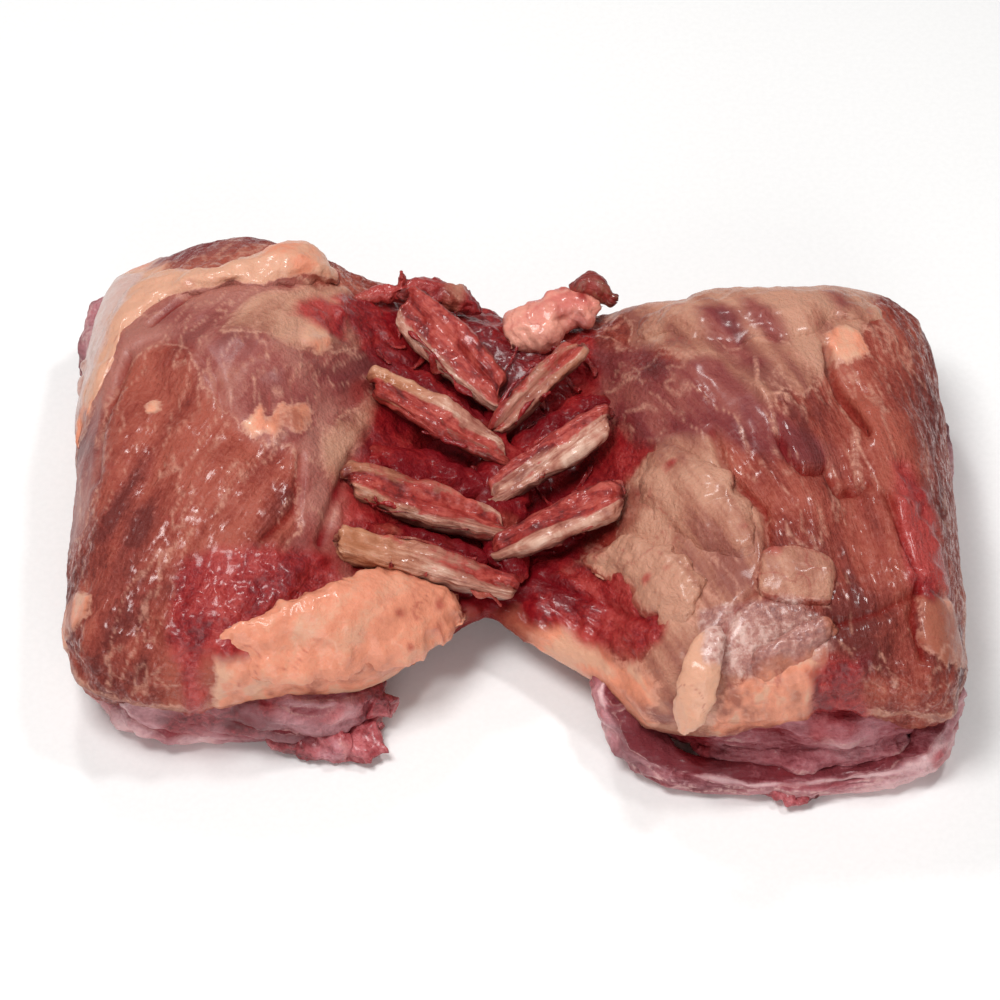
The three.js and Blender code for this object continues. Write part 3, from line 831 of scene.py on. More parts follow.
@dataclass(frozen=True)
class Flesh:
    """Raw lean meat with what covers it: fibres about a millimetre thick that run with the grain, dry-looking
    membrane, tan sheets, fat, purple muscle, wet red meat and a silvery skin, all under a thin film of juice.
    """

    name: str
    lean: tuple[str, ...] = ("#672019", "#8b3629", "#a44f3e")
    skin: tuple[str, ...] = ("#7c3832", "#91463f", "#a7665a")
    tan: tuple[str, ...] = ("#8e4f42", "#a96d58", "#c28b73")
    fat: tuple[str, ...] = ("#a25a45", "#ca7e62", "#e08f71", "#d8a084")
    purple: tuple[str, ...] = ("#64201f", "#7c2e2e", "#914840")
    wet: tuple[str, ...] = ("#700f17", "#931f20", "#ab3c37")
    silver: tuple[str, ...] = ("#87524d", "#ad766b", "#d3aca1")
    pale: str = "#cc917c"
    vein: str = "#9a3d33"
    # deep red of the painted shade in creases and hollows
    shade_and_dark_red: str = "#740b13"

    def build(self) -> bpy.types.Material:
        """Layers the tissues over the lean meat, with a pale line round skin, tan and fat, paints shade in
        deep red over creases and hollows, and wets them.

        Returns:
            The material, with its patterns in millimetres of the object and of the fibres.
        """
        n = Nodes(self.name)
        add, pale = n.add, linear(self.pale)
        keys = "tone", "web", "vein", "dark"
        tone, web, vein, dark = (add(Kind.NUMBER, attribute_name=key) for key in keys)
        fibre = add(Kind.NOISE, add(Kind.STRETCH, n.grain, FIBRES), 0.9, 4.0, 0.65)
        streak = add(Kind.NOISE, add(Kind.STRETCH, n.grain, STREAKS), 1.0, 4.0, 0.55)
        drops = add(Kind.NOISE, n.mm, DROPS, 3.0, 0.62)

        # the lean meat, with pale flecks, partly of fibre and partly painted glints
        speckled = add(Kind.BLEND, 0.45, add(Kind.BLEND, 0.45, fibre, drops), tone)
        colour = add(Kind.RAMP, speckled, stops=even_stops(self.lean, 0.36, 0.62))
        fleck_and_glint = add(Kind.TIMES, add(Kind.BAND, fibre, 0.62, 0.72), add(Kind.BAND, drops, 0.5, 0.62, 0.0, 0.7))
        colour = add(Kind.COLOUR, fleck_and_glint, colour, pale)

        # what covers it: colours, half width of the soft edge in millimetres, and pattern of the colour
        along = add(Kind.BLEND, 0.6, add(Kind.BLEND, 0.4, streak, drops), tone)
        grainy, smeared = (add(Kind.BLEND, share, drops, tone) for share in (0.85, 0.5))
        layers = {
            "skin": (self.skin, 3.6, along),
            "tan": (self.tan, 2.2, along),
            "fat": (self.fat, 1.0, grainy),
            "purple": (self.purple, 3.0, along),
            "wet": (self.wet, 2.4, smeared),
            "silver": (self.silver, 1.4, smeared),
        }
        fray = add(Kind.TIMES, add(Kind.MINUS, add(Kind.BLEND, 0.75, streak, drops), 0.5), 2.6)
        broken = add(Kind.BAND, drops, 0.4, 0.6, 0.1, 0.6)
        covers = {}
        for key, (codes, soft, pattern) in layers.items():
            inside = add(Kind.PLUS, add(Kind.NUMBER, attribute_name=key), fray)
            covers[key] = add(Kind.BAND, inside, -soft, soft)
            own = add(Kind.RAMP, pattern, stops=even_stops(codes, 0.36, 0.64))
            colour = add(Kind.COLOUR, covers[key], colour, own)
            if key in ("skin", "tan", "fat"):
                rim = add(Kind.TIMES, add(Kind.BAND, add(Kind.SIZE, inside), 0.9, 0.1), broken)
                colour = add(Kind.COLOUR, rim, colour, pale)
            if key == "fat":
                colour = add(Kind.COLOUR, add(Kind.TIMES, vein, 0.5), colour, linear(self.vein))
            if key == "purple":
                threads = add(Kind.TIMES, web, add(Kind.BAND, drops, 0.4, 0.6, 0.25, 0.6))
                colour = add(Kind.COLOUR, threads, colour, pale)
        # painted shade: creases, folds and hollows are darkened towards deep red
        colour = add(Kind.COLOUR, dark, colour, linear(self.shade_and_dark_red))

        # the film of juice: broken over lean meat, whole over the rest, and dull in the folds
        gloss = add(Kind.MOST, covers["wet"], covers["silver"])
        smooth = add(Kind.MOST, add(Kind.MOST, covers["skin"], covers["tan"]), covers["fat"])
        juice = add(Kind.BAND, add(Kind.BLEND, 0.4, fibre, drops), 0.46, 0.6)
        film = add(Kind.BLEND, add(Kind.MOST, smooth, gloss), juice, 0.6)
        rough = add(Kind.BLEND, gloss, add(Kind.BLEND, juice, 0.6, 0.45), 0.35)
        film_rough = add(Kind.BLEND, covers["fat"], add(Kind.BLEND, covers["skin"], 0.2, 0.32), 0.16)
        ridges = add(Kind.TIMES, fibre, add(Kind.BLEND, smooth, 1.0, 0.35))
        height = add(Kind.PLUS, add(Kind.TIMES, ridges, 0.7), drops)
        height = add(Kind.TIMES, height, add(Kind.BLEND, covers["fat"], 1.0, 0.55))
        shader = add(
            Kind.SHADER,
            Base_Color=colour,
            Roughness=rough,
            Specular_IOR_Level=add(Kind.BAND, dark, 0.0, 0.4, 0.3, 0.05),
            Normal=add(Kind.BUMP, height, 0.8 * MM),
            Subsurface_Weight=0.08,
            Subsurface_Radius=(1.0, 0.35, 0.22),
            Subsurface_Scale=0.002,
            Coat_Weight=add(Kind.TIMES, film, add(Kind.BAND, dark, 0.0, 0.4, 0.7, 0.15)),
            Coat_Roughness=film_rough,
        )
        return n.finish(shader)


@dataclass(frozen=True)
class Bone:
    """Fresh cut rib: pearly bone with fine lengthwise lines, smeared with blood and with bits of red meat."""

    name: str
    pearl: tuple[str, ...] = ("#8d4a3c", "#b97f6b", "#d8b29d")
    cream: str = "#b9764a"
    red: tuple[str, ...] = ("#640f13", "#95211d", "#b5473c")
    # deep red of the painted shade under a rib, and of the tip of bone
    shade_and_dark_red: str = "#4d0d10"
    marrow: str = "#6d2220"

    def build(self) -> bpy.types.Material:
        """Lays cream, blood, deep red and marrow over the pearly bone; the deep red is painted shade under
        the ribs and the tip's own dark colour.

        Returns:
            The material, with its patterns in millimetres along and across each rib.
        """
        n = Nodes(self.name)
        add = n.add
        keys = "cream", "blood", "shade_and_dark_red", "cut"
        cream, blood, shade_and_dark_red, cut = (add(Kind.NUMBER, attribute_name=key) for key in keys)
        lines = add(Kind.NOISE, add(Kind.STRETCH, n.grain, BONE_LINES), 1.2, 4.0, 0.65)
        smear = add(Kind.NOISE, add(Kind.STRETCH, n.grain, BONE_SMEARS), 0.8, 4.0, 0.62, 0.8)
        drops = add(Kind.NOISE, n.mm, DROPS, 3.0, 0.62)
        colour = add(Kind.RAMP, add(Kind.BLEND, 0.7, lines, smear), stops=even_stops(self.pearl, 0.38, 0.62))
        colour = add(Kind.COLOUR, cream, colour, linear(self.cream))
        amount = add(Kind.PLUS, blood, add(Kind.TIMES, add(Kind.MINUS, smear, 0.5), 1.7))
        red = add(Kind.RAMP, add(Kind.BLEND, 0.75, drops, smear), stops=even_stops(self.red, 0.38, 0.6))
        colour = add(Kind.COLOUR, add(Kind.BAND, amount, 0.34, 0.66, 0.06, 0.95), colour, red)
        # painted shade on the ribs' undersides, and the tip's own dark red
        colour = add(Kind.COLOUR, add(Kind.TIMES, shade_and_dark_red, 0.8), colour, linear(self.shade_and_dark_red))
        spongy = add(Kind.TIMES, cut, add(Kind.BAND, drops, 0.35, 0.6, 0.4, 0.9))
        colour = add(Kind.COLOUR, spongy, colour, linear(self.marrow))
        height = add(Kind.PLUS, lines, add(Kind.TIMES, drops, 0.5))
        shader = add(
            Kind.SHADER,
            Base_Color=colour,
            Roughness=0.45,
            Specular_IOR_Level=0.3,
            Normal=add(Kind.BUMP, height, 0.6 * MM),
            Coat_Weight=add(Kind.BAND, drops, 0.44, 0.6, 0.05, 0.5),
            Coat_Roughness=0.14,
        )
        return n.finish(shader)


@dataclass(frozen=True)
class Paper:
    """Pale matt paper, with the faintest tooth."""

    name: str
    dull: str = "#f6f5f4"
    bright: str = "#f9f8f7"

    def build(self) -> bpy.types.Material:
        """Tints the paper with its tooth.

        Returns:
            The material, with bumps as wide as the drops of juice.
        """
        n = Nodes(self.name)
        tooth = n.add(Kind.NOISE, n.mm, DROPS, 3.0, 0.6)
        share = n.add(Kind.BAND, tooth, 0.3, 0.7)
        colour = n.add(Kind.COLOUR, share, linear(self.dull), linear(self.bright))
        normal = n.add(Kind.BUMP, tooth, 0.05 * MM, 0.3)
        return n.finish(n.add(Kind.SHADER, Base_Color=colour, Roughness=0.85, Normal=normal))


# ---- The pieces ----


def dress(piece: bpy.types.Object, material: bpy.types.Material, node: str) -> None:
    """Gives a piece its material and slot, and lets it ride on the body and stand for its node.

    Args:
        piece: The object.
        material: Its material.
        node: The CAD node it stands for.
    """
    piece.data.materials.append(material)
    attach(piece, "root")
    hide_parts(node)
    LOG.info("%s: %d faces", piece.name, len(piece.data.polygons))


def bare_values(points: Array, **given: float | Array) -> Look:
    """Attributes of flesh with no tissue, web or vein anywhere, except those given.

    Args:
        points: The surface's points.
        given: Other values by attribute name, each one number for all or a value for each point.

    Returns:
        The values by attribute name.
    """
    plain = {**{tissue.value: FREE for tissue in Tissue}, "web": 0.0, "vein": 0.0, **given}
    return {
        key: np.broadcast_to(np.asarray(value, float), points.shape[:2] + np.shape(value)[2:]).copy()
        for key, value in plain.items()
    }


def strand_grain(along: Array, apart: float) -> Array:
    """Coordinates along and across a strand, with a third that sets its patterns apart from others'."""
    return along[..., :3] * (1, 1, 0) + (0, 0, apart)


def covered(points: Array, grain: Array, **given: float | Array) -> Look:
    """Attributes of flesh: tissues with frayed edges, the grain, a slow change of tone, and pale webs and
    veins, which lie where a noise is near 0.

    Args:
        points: The surface's points, in millimetres.
        grain: Its coordinates along and across the fibres.
        given: Tissues that show at least as much as these numbers say.

    Returns:
        The values by attribute name.
    """
    x, y = points[..., 0], points[..., 1]
    low = np.maximum((points[..., 2] - LIP_HEIGHT) / 2.5, FREE)
    comb = 0.5 * fractal(grain * (0.12, 0.8, 0.8), 3.0, 3, 22.0)
    fray = 2.2 * fractal(points, 13.0, 4, 21.0)
    values = {}
    for key, value in tissue_values(x, y).items():
        edge = fray + (0 if key in ("wet", "silver") else comb)
        values[key] = np.maximum(np.minimum(value + edge, low), given.get(key, FREE))
    slow = 0.5 + 0.28 * fractal(points, 20.0, 3, 5.0) + 0.24 * fractal(grain * (0.2, 1, 1), 6.0, 3, 6.0)
    values["tone"] = np.clip(slow + swells(BLOTS, x, y), 0, 1)
    net = np.abs(fractal(grain * (0.45, 1, 1) + 2.5 * noise(points, 7.0)[..., None], 9.0, 3, 8.0))
    values["web"] = soft_step(0.11 - net, 0, 0.08)
    for seam in SEAMS:
        if seam.depth < 0:
            values["web"] += soft_step(seam.relief(x, y), 0.5, 1.0)
    vessel = np.abs(fractal(points + 3 * noise(points, 9.0)[..., None], 13.0, 3, 18.0))
    values["vein"] = soft_step(0.05 - vessel, 0, 0.04) * soft_step(noise(points + 60, 12.0), -0.1, 0.4)
    # no painted shade unless it is given later
    values["dark"] = np.zeros(slow.shape)
    values["grain"] = grain
    return values


@dataclass(frozen=True)
class Roll:
    """A rolled-under flap: its strand, how many millimetres of pale skin are added to what shows, its share
    of painted shade all over, the slope of its folds, and the share up its section where its inside, darkened
    as painted shade, begins.
    """

    strand: Strand
    pale: float = 0.0
    dark: float = 0.0
    tilt: float = 0.0
    inside: float = 2.0

    def part(self) -> tuple[Skin, Look]:
        """Long folds with painted shade in their hollows and pale skin on their ridges, painted shade over
        the inside, and a pale line below the inside.

        Returns:
            The surface with its folds, and its values by attribute name.
        """
        surface, along = self.strand.skin(150, 72)
        p = surface.points
        level = p + (0, 0, 1) * (self.tilt * p[..., :1])
        folds = fractal(level * (0.16, 0.3, 0.9) + 0.9 * noise(p, 12.0)[..., None], 3.6, 4, 7.0)
        out = 1.8 * fractal(p, 10.0, 4, 60.0) + 2.0 * folds - 1.0 * np.abs(fractal(p, 6.0, 4, 64.0))
        high = along[..., 4] + 0.2 * fractal(p, 9.0, 3, 67.0) - self.inside
        # painted shade: the inside, under the overhang, is darkened
        shade = soft_step(high, 0, 0.25)
        edge = np.exp(-((high / 0.09) ** 2)) * soft_step(noise(p, 14.0), -0.5, 0.3)
        values = bare_values(
            p,
            skin=6 * folds + 3 * fractal(p, 16.0, 2, 66.0) - 1.5 + self.pale - 7 * shade + 6 * edge,
            wet=6 * fractal(p, 12.0, 3, 71.0) - 2.5 - 3 * edge,
            tone=np.clip(0.5 + 0.4 * fractal(p, 15.0, 3, 72.0) - 0.35 * shade + 0.4 * edge, 0, 1),
            # painted shade all over, on the inside and in the hollows of the folds
            dark=np.clip(self.dark + 0.3 * shade + 0.5 * soft_step(-folds, 0.1, 0.7), 0, 0.8),
            grain=np.stack([p[..., 0], p[..., 2] * 1.6, p[..., 1]], -1),
        )
        return surface.moved(out * soft_step(p[..., 2], 0.5, 5)), values


def rag_part(strand: Strand, tone: float, steps: int = 70, sides: int = 44) -> tuple[Skin, Look]:
    """A ragged strand of wet red meat with browner and tan patches, and painted shade on the darkest.

    Args:
        strand: The strand.
        tone: How light it is, from 0 to 1; the darkest strands also get painted shade.
        steps: Spans along it.
        sides: Points round its section.

    Returns:
        Its lumpy surface, and its values by attribute name.
    """
    surface, along = strand.skin(steps, sides)
    p = surface.points
    values = bare_values(
        p,
        wet=3 + 6 * fractal(p, 9.0, 2, 90.0),
        tan=np.maximum(5 * fractal(p, 8.0, 2, 95.0) - (1 - tone) * 6, FREE),
        tone=np.clip(tone + 0.35 * fractal(p, 9.0, 3, 73.0), 0, 1),
        # painted shade on dark strands, such as the bed in the trough
        dark=max(0.0, 0.9 - 2 * tone),
        grain=strand_grain(along, p[0, 0, 0]),
    )
    out = 0.7 * fractal(p, 4.0, 4, 80.0) - 0.8 * np.abs(fractal(p, 6.0, 3, 84.0))
    return surface.moved(out * soft_step(p[..., 2], 0.3, 3)), values


@dataclass
class Meat:
    """The lean meat: the loaf, its rolled-under flaps, ragged strands at its edges, and a bed and shreds of
    torn meat in the trough.
    """

    rows_inside: int = 318
    rows_in_cap: int = 33
    over_columns: int = 196
    under_columns: int = 52
    loose_shreds: int = 44
    shreds_on_a_rib: int = 4
    rolls: tuple[Roll, ...] = (
        Roll(Strand(((-120, -47, 13, 10, 12), (-100, -55, 12, 13, 13), (-77, -57, 13, 13, 13.5),
            (-56, -56, 13, 13, 12), (-38, -51, 12, 9, 10)), square=2.5), pale=5.5, dark=-0.1, tilt=0.35),
        Roll(Strand(((-122, 54, 17, 6, 11), (-125, 69, 19, 7, 14), (-119, 80, 19, 6, 11))), dark=0.1),
        Roll(Strand(((36, -58, 18, 10, 11), (55, -63, 19, 12, 13), (80, -64, 20, 13, 13),
            (104, -62, 19, 12, 12), (118, -54, 17, 9, 9)), square=2.4), pale=-1.5, dark=0.3, tilt=0.05),
        Roll(Strand(((27, -50, 25, 5, 6), (30, -65, 14, 6, 7), (44, -76, 6, 6.5, 5.5),
            (70, -79, 5.5, 6.5, 5.5), (95, -78, 5.5, 6.5, 5.5), (113, -73, 7, 6.5, 6.5),
            (121, -63, 16, 6.5, 7), (122, -50, 23, 6, 6))), pale=2.0, inside=0.66),
        Roll(Strand(((50, -71, 9, 3, 3.5), (62, -74, 9.5, 4.5, 4.5), (80, -75, 9.5, 5, 4.5),
            (100, -74, 9.5, 5, 4.5), (112, -69, 11, 4, 4))), pale=-3.0, dark=0.3, tilt=0.05),
        Roll(Strand(((119, 64, 15, 6, 11), (122, 40, 15, 8, 13), (122, 5, 15, 8, 13),
            (120, -30, 15, 7, 11))), dark=0.2),
    )
    rags: tuple[Strand, ...] = (
        Strand(((-58, -58, 8, 6, 6), (-51, -68, 6, 5, 5), (-46, -73, 4, 3, 3)), ragged=3.0),
        Strand(((-44, -52, 12, 5, 6), (-37, -58, 10, 4, 5), (-33, -61, 10, 2.5, 3)), ragged=3.0),
        Strand(((-68, -62, 5, 5, 5), (-56, -66, 4, 8, 3.5), (-45, -66, 4, 8, 3.5), (-37, -60, 6, 5, 3)),
            ragged=4.0),
        Strand(((66, -79, 4, 4, 3), (76, -82, 3.5, 5, 3), (86, -82, 3.5, 4, 2.5)), ragged=3.0),
    )
    ridge: tuple[Strand, ...] = (
        Strand(((-36, 70, 39, 2.5, 2), (-33, 72.5, 44, 1.8, 1.6), (-33.5, 73.5, 48, 1, 1)), ragged=0.6),
        Strand(((-48, 68, 40, 1, 1), (-42, 70, 40, 2.4, 1.8), (-35, 71, 40, 2.5, 2)), ragged=0.8),
        Strand(((-41, 70, 39, 2.5, 2), (-32, 72, 40, 4.5, 4), (-21, 72, 38, 5, 4), (-10, 71, 33, 4, 3.5)),
            ragged=3.5),
    )
    bed: tuple[Strand, ...] = (
        Strand(((-38, 46, 37, 4, 4), (-22, 37, 31, 5, 5), (-5, 24, 26, 4, 4)), ragged=2.0),
        Strand(((-45, 4, 42, 5, 4), (-26, 7, 34, 7, 5), (-4, 4, 27, 4, 4)), ragged=2.0),
        Strand(((-46, -19, 41, 4, 4), (-28, -18, 32, 5, 5), (-6, -21, 26, 4, 4)), ragged=2.0),
        Strand(((29, 32, 36, 5, 4), (14, 27, 30, 6, 5), (-2, 13, 26, 4, 3)), ragged=2.0),
        Strand(((-6, 42, 25, 4, 4), (-4, 24, 28, 6, 4.5), (-4, 6, 28.5, 6, 4.5), (-4, -12, 27.5, 6, 4.5),
            (0, -28, 26, 5, 3)), ragged=3.5),
    )

    def grid(self) -> Skin:
        """The loaf as rings along X, closer together where a cap closes.

        Returns:
            The loaf's skin, without its relief.
        """
        turn = np.linspace(0, np.pi / 2, self.rows_in_cap + 1)
        cap = CAP * (1 - np.cos(turn[:-1]))
        middle = np.linspace(LEFT_END + CAP, RIGHT_END - CAP, self.rows_inside)
        x = np.concatenate([LEFT_END + cap, middle, (RIGHT_END - cap)[::-1]])
        over = np.linspace(0, TOP_SHARE, self.over_columns, endpoint=False)
        down = (1 - np.cos(np.linspace(0, np.pi, self.under_columns, endpoint=False))) / 2
        around = np.concatenate([over, TOP_SHARE + (1 - TOP_SHARE) * down])
        return Skin(loaf_points(x[:, None], around[None]))

    def relief(self, points: Array, values: Look) -> Array:
        """How far each point of the loaf stands out.

        Lumps of four sizes, ridges along the fibres where lean meat shows, fat and skin that lie on top of
        it, and the named seams. The underside stays flat.

        Args:
            points: The loaf's points.
            values: Their values by attribute name.

        Returns:
            The height over the plain loaf, in millimetres.
        """
        x, y, z = points[..., 0], points[..., 1], points[..., 2]
        cover = {tissue.value: soft_step(values[tissue.value], -1.0, 1.0) for tissue in Tissue}
        smooth = np.maximum.reduce([cover["skin"], cover["purple"], cover["tan"], cover["fat"]])
        lumps = 0.8 * fractal(points, 11.0, 4, 3.0) - 0.5 * np.abs(fractal(points, 6.0, 3, 13.0))
        ridges = 0.35 * fractal(values["grain"] * (0.16, 0.7, 0.7), 1.3, 2, 9.0)
        wet = (1.0 * fractal(points, 4.5, 3, 20.0) + 0.9 * fractal(points, 9.0, 2, 25.0)) * cover["wet"]
        out = lumps * (1 - 0.4 * smooth) + ridges * (1 - 0.7 * smooth) + wet
        out += 0.8 * cover["fat"] + 0.4 * cover["tan"] + 0.4 * cover["silver"] + 0.3 * cover["skin"]
        for seam in SEAMS:
            out += seam.relief(x, y) * soft_step(z, 20, 28)
        lip = np.exp(-(((z - 30) / 7) ** 2)) * soft_step(-y, 45, 60)
        out += 1.4 * lip * fractal(points, 7.0, 3, 40.0)
        return out * soft_step(z, 1.0, 9.0)

    def build(self) -> None:
        """Makes the meat's pieces and dresses them."""
        top = Flesh("raw_lean").build()
        # below the lobes the air hasn't reached the meat, so its lean and its skin are mauve and milky
        under = Flesh(
            "raw_under",
            lean=("#78383f", "#b06970", "#ca8c92"),
            skin=("#8a5257", "#ba8085", "#dcb0b1"),
            wet=("#641b21", "#9c3b41", "#bf666a"),
            pale="#dcb0aa",
        ).build()
        ribs = Ribs()
        skin = self.grid()
        values = covered(skin.points, grain_at(skin.points))
        x, y, z = (skin.points[..., k] for k in range(3))
        # painted shade: the creases and the trough in front of the ribs lie in shade, so they are darkened
        seams = sum(np.maximum(0, -seam.relief(x, y)) for seam in SEAMS)
        values["dark"] = 0.5 * soft_step(seams, 0.5, 1.8) + 0.45 * soft_step(9 - ribs.distance(x, y), 0, 5)
        # a broken tan line of dried skin runs below the front brim
        _, _, brim, _ = stations(x)
        lip = 1.5 - np.abs(z - brim + 1.5) + 1.5 * noise(skin.points, 9.0)
        values["tan"] = np.maximum(values["tan"], np.where(y < -20, lip, FREE))
        groups = {
            "loaf": (top, [(skin.moved(self.relief(skin.points, values)), values)]),
            "rolls": (under, [roll.part() for roll in self.rolls]),
            "rags": (under, [rag_part(strand, 0.45) for strand in self.rags]),
            "ridge": (top, [rag_part(strand, 0.65) for strand in self.ridge]),
            "bed": (top, [rag_part(strand, 0.3, 90, 56) for strand in self.bed]),
            "shreds": (top, [rag_part(strand, 0.5, 24, 12) for strand in self.shreds(ribs)]),
        }
        for name, (finish, parts) in groups.items():
            dress(build_mesh(f"meat_{name}", parts), finish, "meat")

    def shreds(self, ribs: Ribs) -> list[Strand]:
        """Small torn shreds: some lie about in the trough, and others cling to the edges of the ribs.

        Args:
            ribs: The ribs that they cling to.

        Returns:
            The shreds' strands.
        """
        random = np.random.default_rng(6)
        strands = []
        for _ in range(self.loose_shreds):
            x, y = random.uniform(-42, 22), random.uniform(-14, 62)
            turn, reach, bend = random.uniform(-1.2, 1.2), random.uniform(3, 8), random.uniform(-2, 2)
            thick, lift = random.uniform(0.5, 1.2), random.uniform(0.2, 1.2, 3)
            share = np.array((-1, 0, 1))
            aside = bend * (1 - share**2)
            px = x + share * reach * np.cos(turn) - aside * np.sin(turn)
            py = y + share * reach * np.sin(turn) + aside * np.cos(turn)
            stops = tuple((*place, thick, thick * 0.7) for place in zip(px, py, lift))
            strands.append(Strand(stops, draped=True))
        for one in ribs.ribs:
            bone = np.array(one.strand.stops)
            for _ in range(self.shreds_on_a_rib):
                at = np.sort(random.uniform(0.05, 0.97, 2))
                path = curve_points(bone[:, :3], np.linspace(*at, 4))
                off = random.choice((-1, 1)) * (bone[1, 3] + random.uniform(-1.0, 0.6, 4))
                ahead = (path[-1] - path[0]) / np.linalg.norm(path[-1] - path[0])
                path[:, 0] -= ahead[1] * off
                path[:, 1] += ahead[0] * off
                path[:, 2] += random.uniform(-2.0, 3.2, 4)
                widths = random.uniform(0.4, 1.1, 4)
                stops = tuple((*place, wide, wide * 0.7) for place, wide in zip(path.tolist(), widths))
                strands.append(Strand(stops, ragged=0.5))
        return strands


@dataclass(frozen=True)
class Rib:
    """One cut rib: its node and its strand, which side of it is the near one, how bloody its far edge, its
    top and its near edge are, how creamy its outer end is, and how deep the groove in its top is.
    """

    node: str
    strand: Strand
    near_side: int
    far: float
    top: float
    near: float
    cream: float = 0.0
    groove: float = 0.0


def rib(
    node: str, stops: tuple[tuple[float, ...], ...], roll: float, slant: float = 0.0, **looks: float
) -> Rib:
    """A rib with the squarish section and the blunt ends that all share, rolled towards its near side.

    Args:
        node: The CAD node it stands for.
        stops: Its strand's stops, from the spine outwards.
        roll: How far it is rolled about its own length, in radians.
        slant: How far one side of its ends reaches past the middle.
        looks: How bloody, how creamy and how deeply grooved it is, by the names of its fields.

    Returns:
        The rib.
    """
    strand = Strand(stops, square=4.0, tip=8.0, roll=roll, slant=slant)
    return Rib(node, strand, 1 if roll > 0 else -1, **looks)


@dataclass
class Ribs:
    """The cut ribs and the dark tip of bone at the back."""

    ribs: tuple[Rib, ...] = (
        rib("rib_left_1", ((-3, 35, 33, 5.5, 3.5), (-18, 50, 39, 8, 4), (-33, 65, 43, 6.5, 3.5)), roll=-0.5,
            slant=2.5, far=1.1, top=1.0, near=0.25, groove=0.8),
        rib("rib_left_2", ((-1, 14, 32, 4, 3.5), (-21, 22, 40, 5.8, 4.2), (-41, 31, 46, 4.2, 3.8)),
            roll=-0.35, slant=2.5, far=0.1, top=0.65, near=0.9, cream=0.6, groove=0.4),
        rib("rib_left_3", ((-2, -11, 31, 4.5, 3.5), (-25, -9, 39, 6, 4.4), (-47, -6, 47, 5.2, 4.5)),
            roll=-0.25, slant=2.0, far=0.5, top=0.8, near=0.2, cream=0.3, groove=0.7),
        rib("rib_left_4", ((1, -32, 29, 4.2, 3.5), (-25, -30, 39, 5.4, 4), (-51, -28, 47, 5.5, 5)),
            roll=-0.2, far=0.5, top=0.2, near=0.1, cream=0.6, groove=0.5),
        rib("rib_right_1", ((-6, 23, 32, 3, 3), (7, 36, 38, 4.4, 3.5), (20, 48, 42, 4.2, 3.6)), roll=0.3,
            slant=1.0, far=0.5, top=0.25, near=0.1, cream=0.3, groove=0.8),
        rib("rib_right_2", ((-7, 0, 31, 4.2, 3.5), (10, 9, 38, 5.8, 4.2), (28, 19, 44, 5.4, 4.6)),
            roll=0.35, slant=-1.5, far=1.3, top=0.0, near=0.15, groove=0.4),
        rib("rib_right_3", ((-6, -18, 29, 4.2, 3.5), (12, -14, 37, 5.8, 4.4), (31, -10, 44, 5.8, 4.6)),
            roll=0.3, slant=-1.0, far=0.9, top=0.8, near=-0.1, groove=0.6),
    )
    tip: Rib = Rib("bone_tip_rear", Strand(((19, 72, 36, 3, 3), (23, 74, 39, 4, 4.5), (30, 71, 37, 3, 3)),
        ragged=2.0), near_side=1, far=1.0, top=0.5, near=0.6, cream=0.4)

    def distance(self, x: Array, y: Array) -> Array:
        """Distance on the plan to the nearest rib's front, where the trough lies in shade.

        Args:
            x: Places across the plan.
            y: Places along the plan.

        Returns:
            The distance of each place, in millimetres.
        """
        fronts = ([(px, py - 3) for px, py, *_ in one.strand.stops] for one in self.ribs)
        return np.minimum.reduce([line_distance(front, x, y) for front in fronts])

    def part(self, one: Rib) -> tuple[Skin, Look]:
        """A rib's craggy surface, with lines along it and a groove in its top.

        Args:
            one: The rib.

        Returns:
            The surface, and its values by attribute name.
        """
        surface, along = one.strand.skin(120, 84)
        p = surface.points
        ours = strand_grain(along, 10 * p[0, 0, 0])
        share, side, lift = along[..., 2], along[..., 3], along[..., 4]
        lines = fractal(ours * (0.06, 0.5, 1), 1.0, 3, 11.0)
        out = 0.4 * lines + 1.0 * fractal(p, 10.0, 4, 12.0) - 0.7 * np.abs(fractal(p, 6.0, 3, 14.0))
        out += 1.2 * soft_step(share, 0.92, 0.985) * fractal(p, 3.5, 3, 15.0)
        bend = 0.25 * fractal(ours * (0.5, 0, 1), 9.0, 2, 17.0)
        flat = soft_step(lift, 0.6, 0.9) * soft_step(0.95 - np.abs(side), 0, 0.2)
        groove = flat * np.exp(-(((side - bend) / 0.3) ** 2))
        nearness = side * one.near_side + 0.25 * fractal(ours * (0.2, 1, 1), 6.0, 2, 19.0)
        blood = np.interp(nearness, (-0.6, -0.2, 0.2, 0.6), (one.far, one.top, one.top, one.near))
        patchy = 0.4 * fractal(ours * (0.35, 1, 1), 7.0, 3, 16.0)
        # painted shade on the rib's underside
        underside_shade = soft_step(-lift + 0.3 * noise(p, 5.0), -0.3, 0.5)
        values = {
            "grain": ours,
            "blood": blood + 0.35 * one.groove * groove + patchy,
            "cream": one.cream * soft_step(share, 0.35, 0.9),
            "cut": soft_step(share, 0.975, 0.995),
            "shade_and_dark_red": underside_shade if one.groove else 0.5 + 0.4 * noise(p, 4.0),
        }
        return surface.moved(out - 1.6 * one.groove * groove), values

    def build(self) -> None:
        """Makes one piece for each rib and one for the tip."""
        bone = Bone("cut_bone").build()
        for one in (*self.ribs, self.tip):
            dress(build_mesh(f"{one.node}_look", [self.part(one)]), bone, one.node)


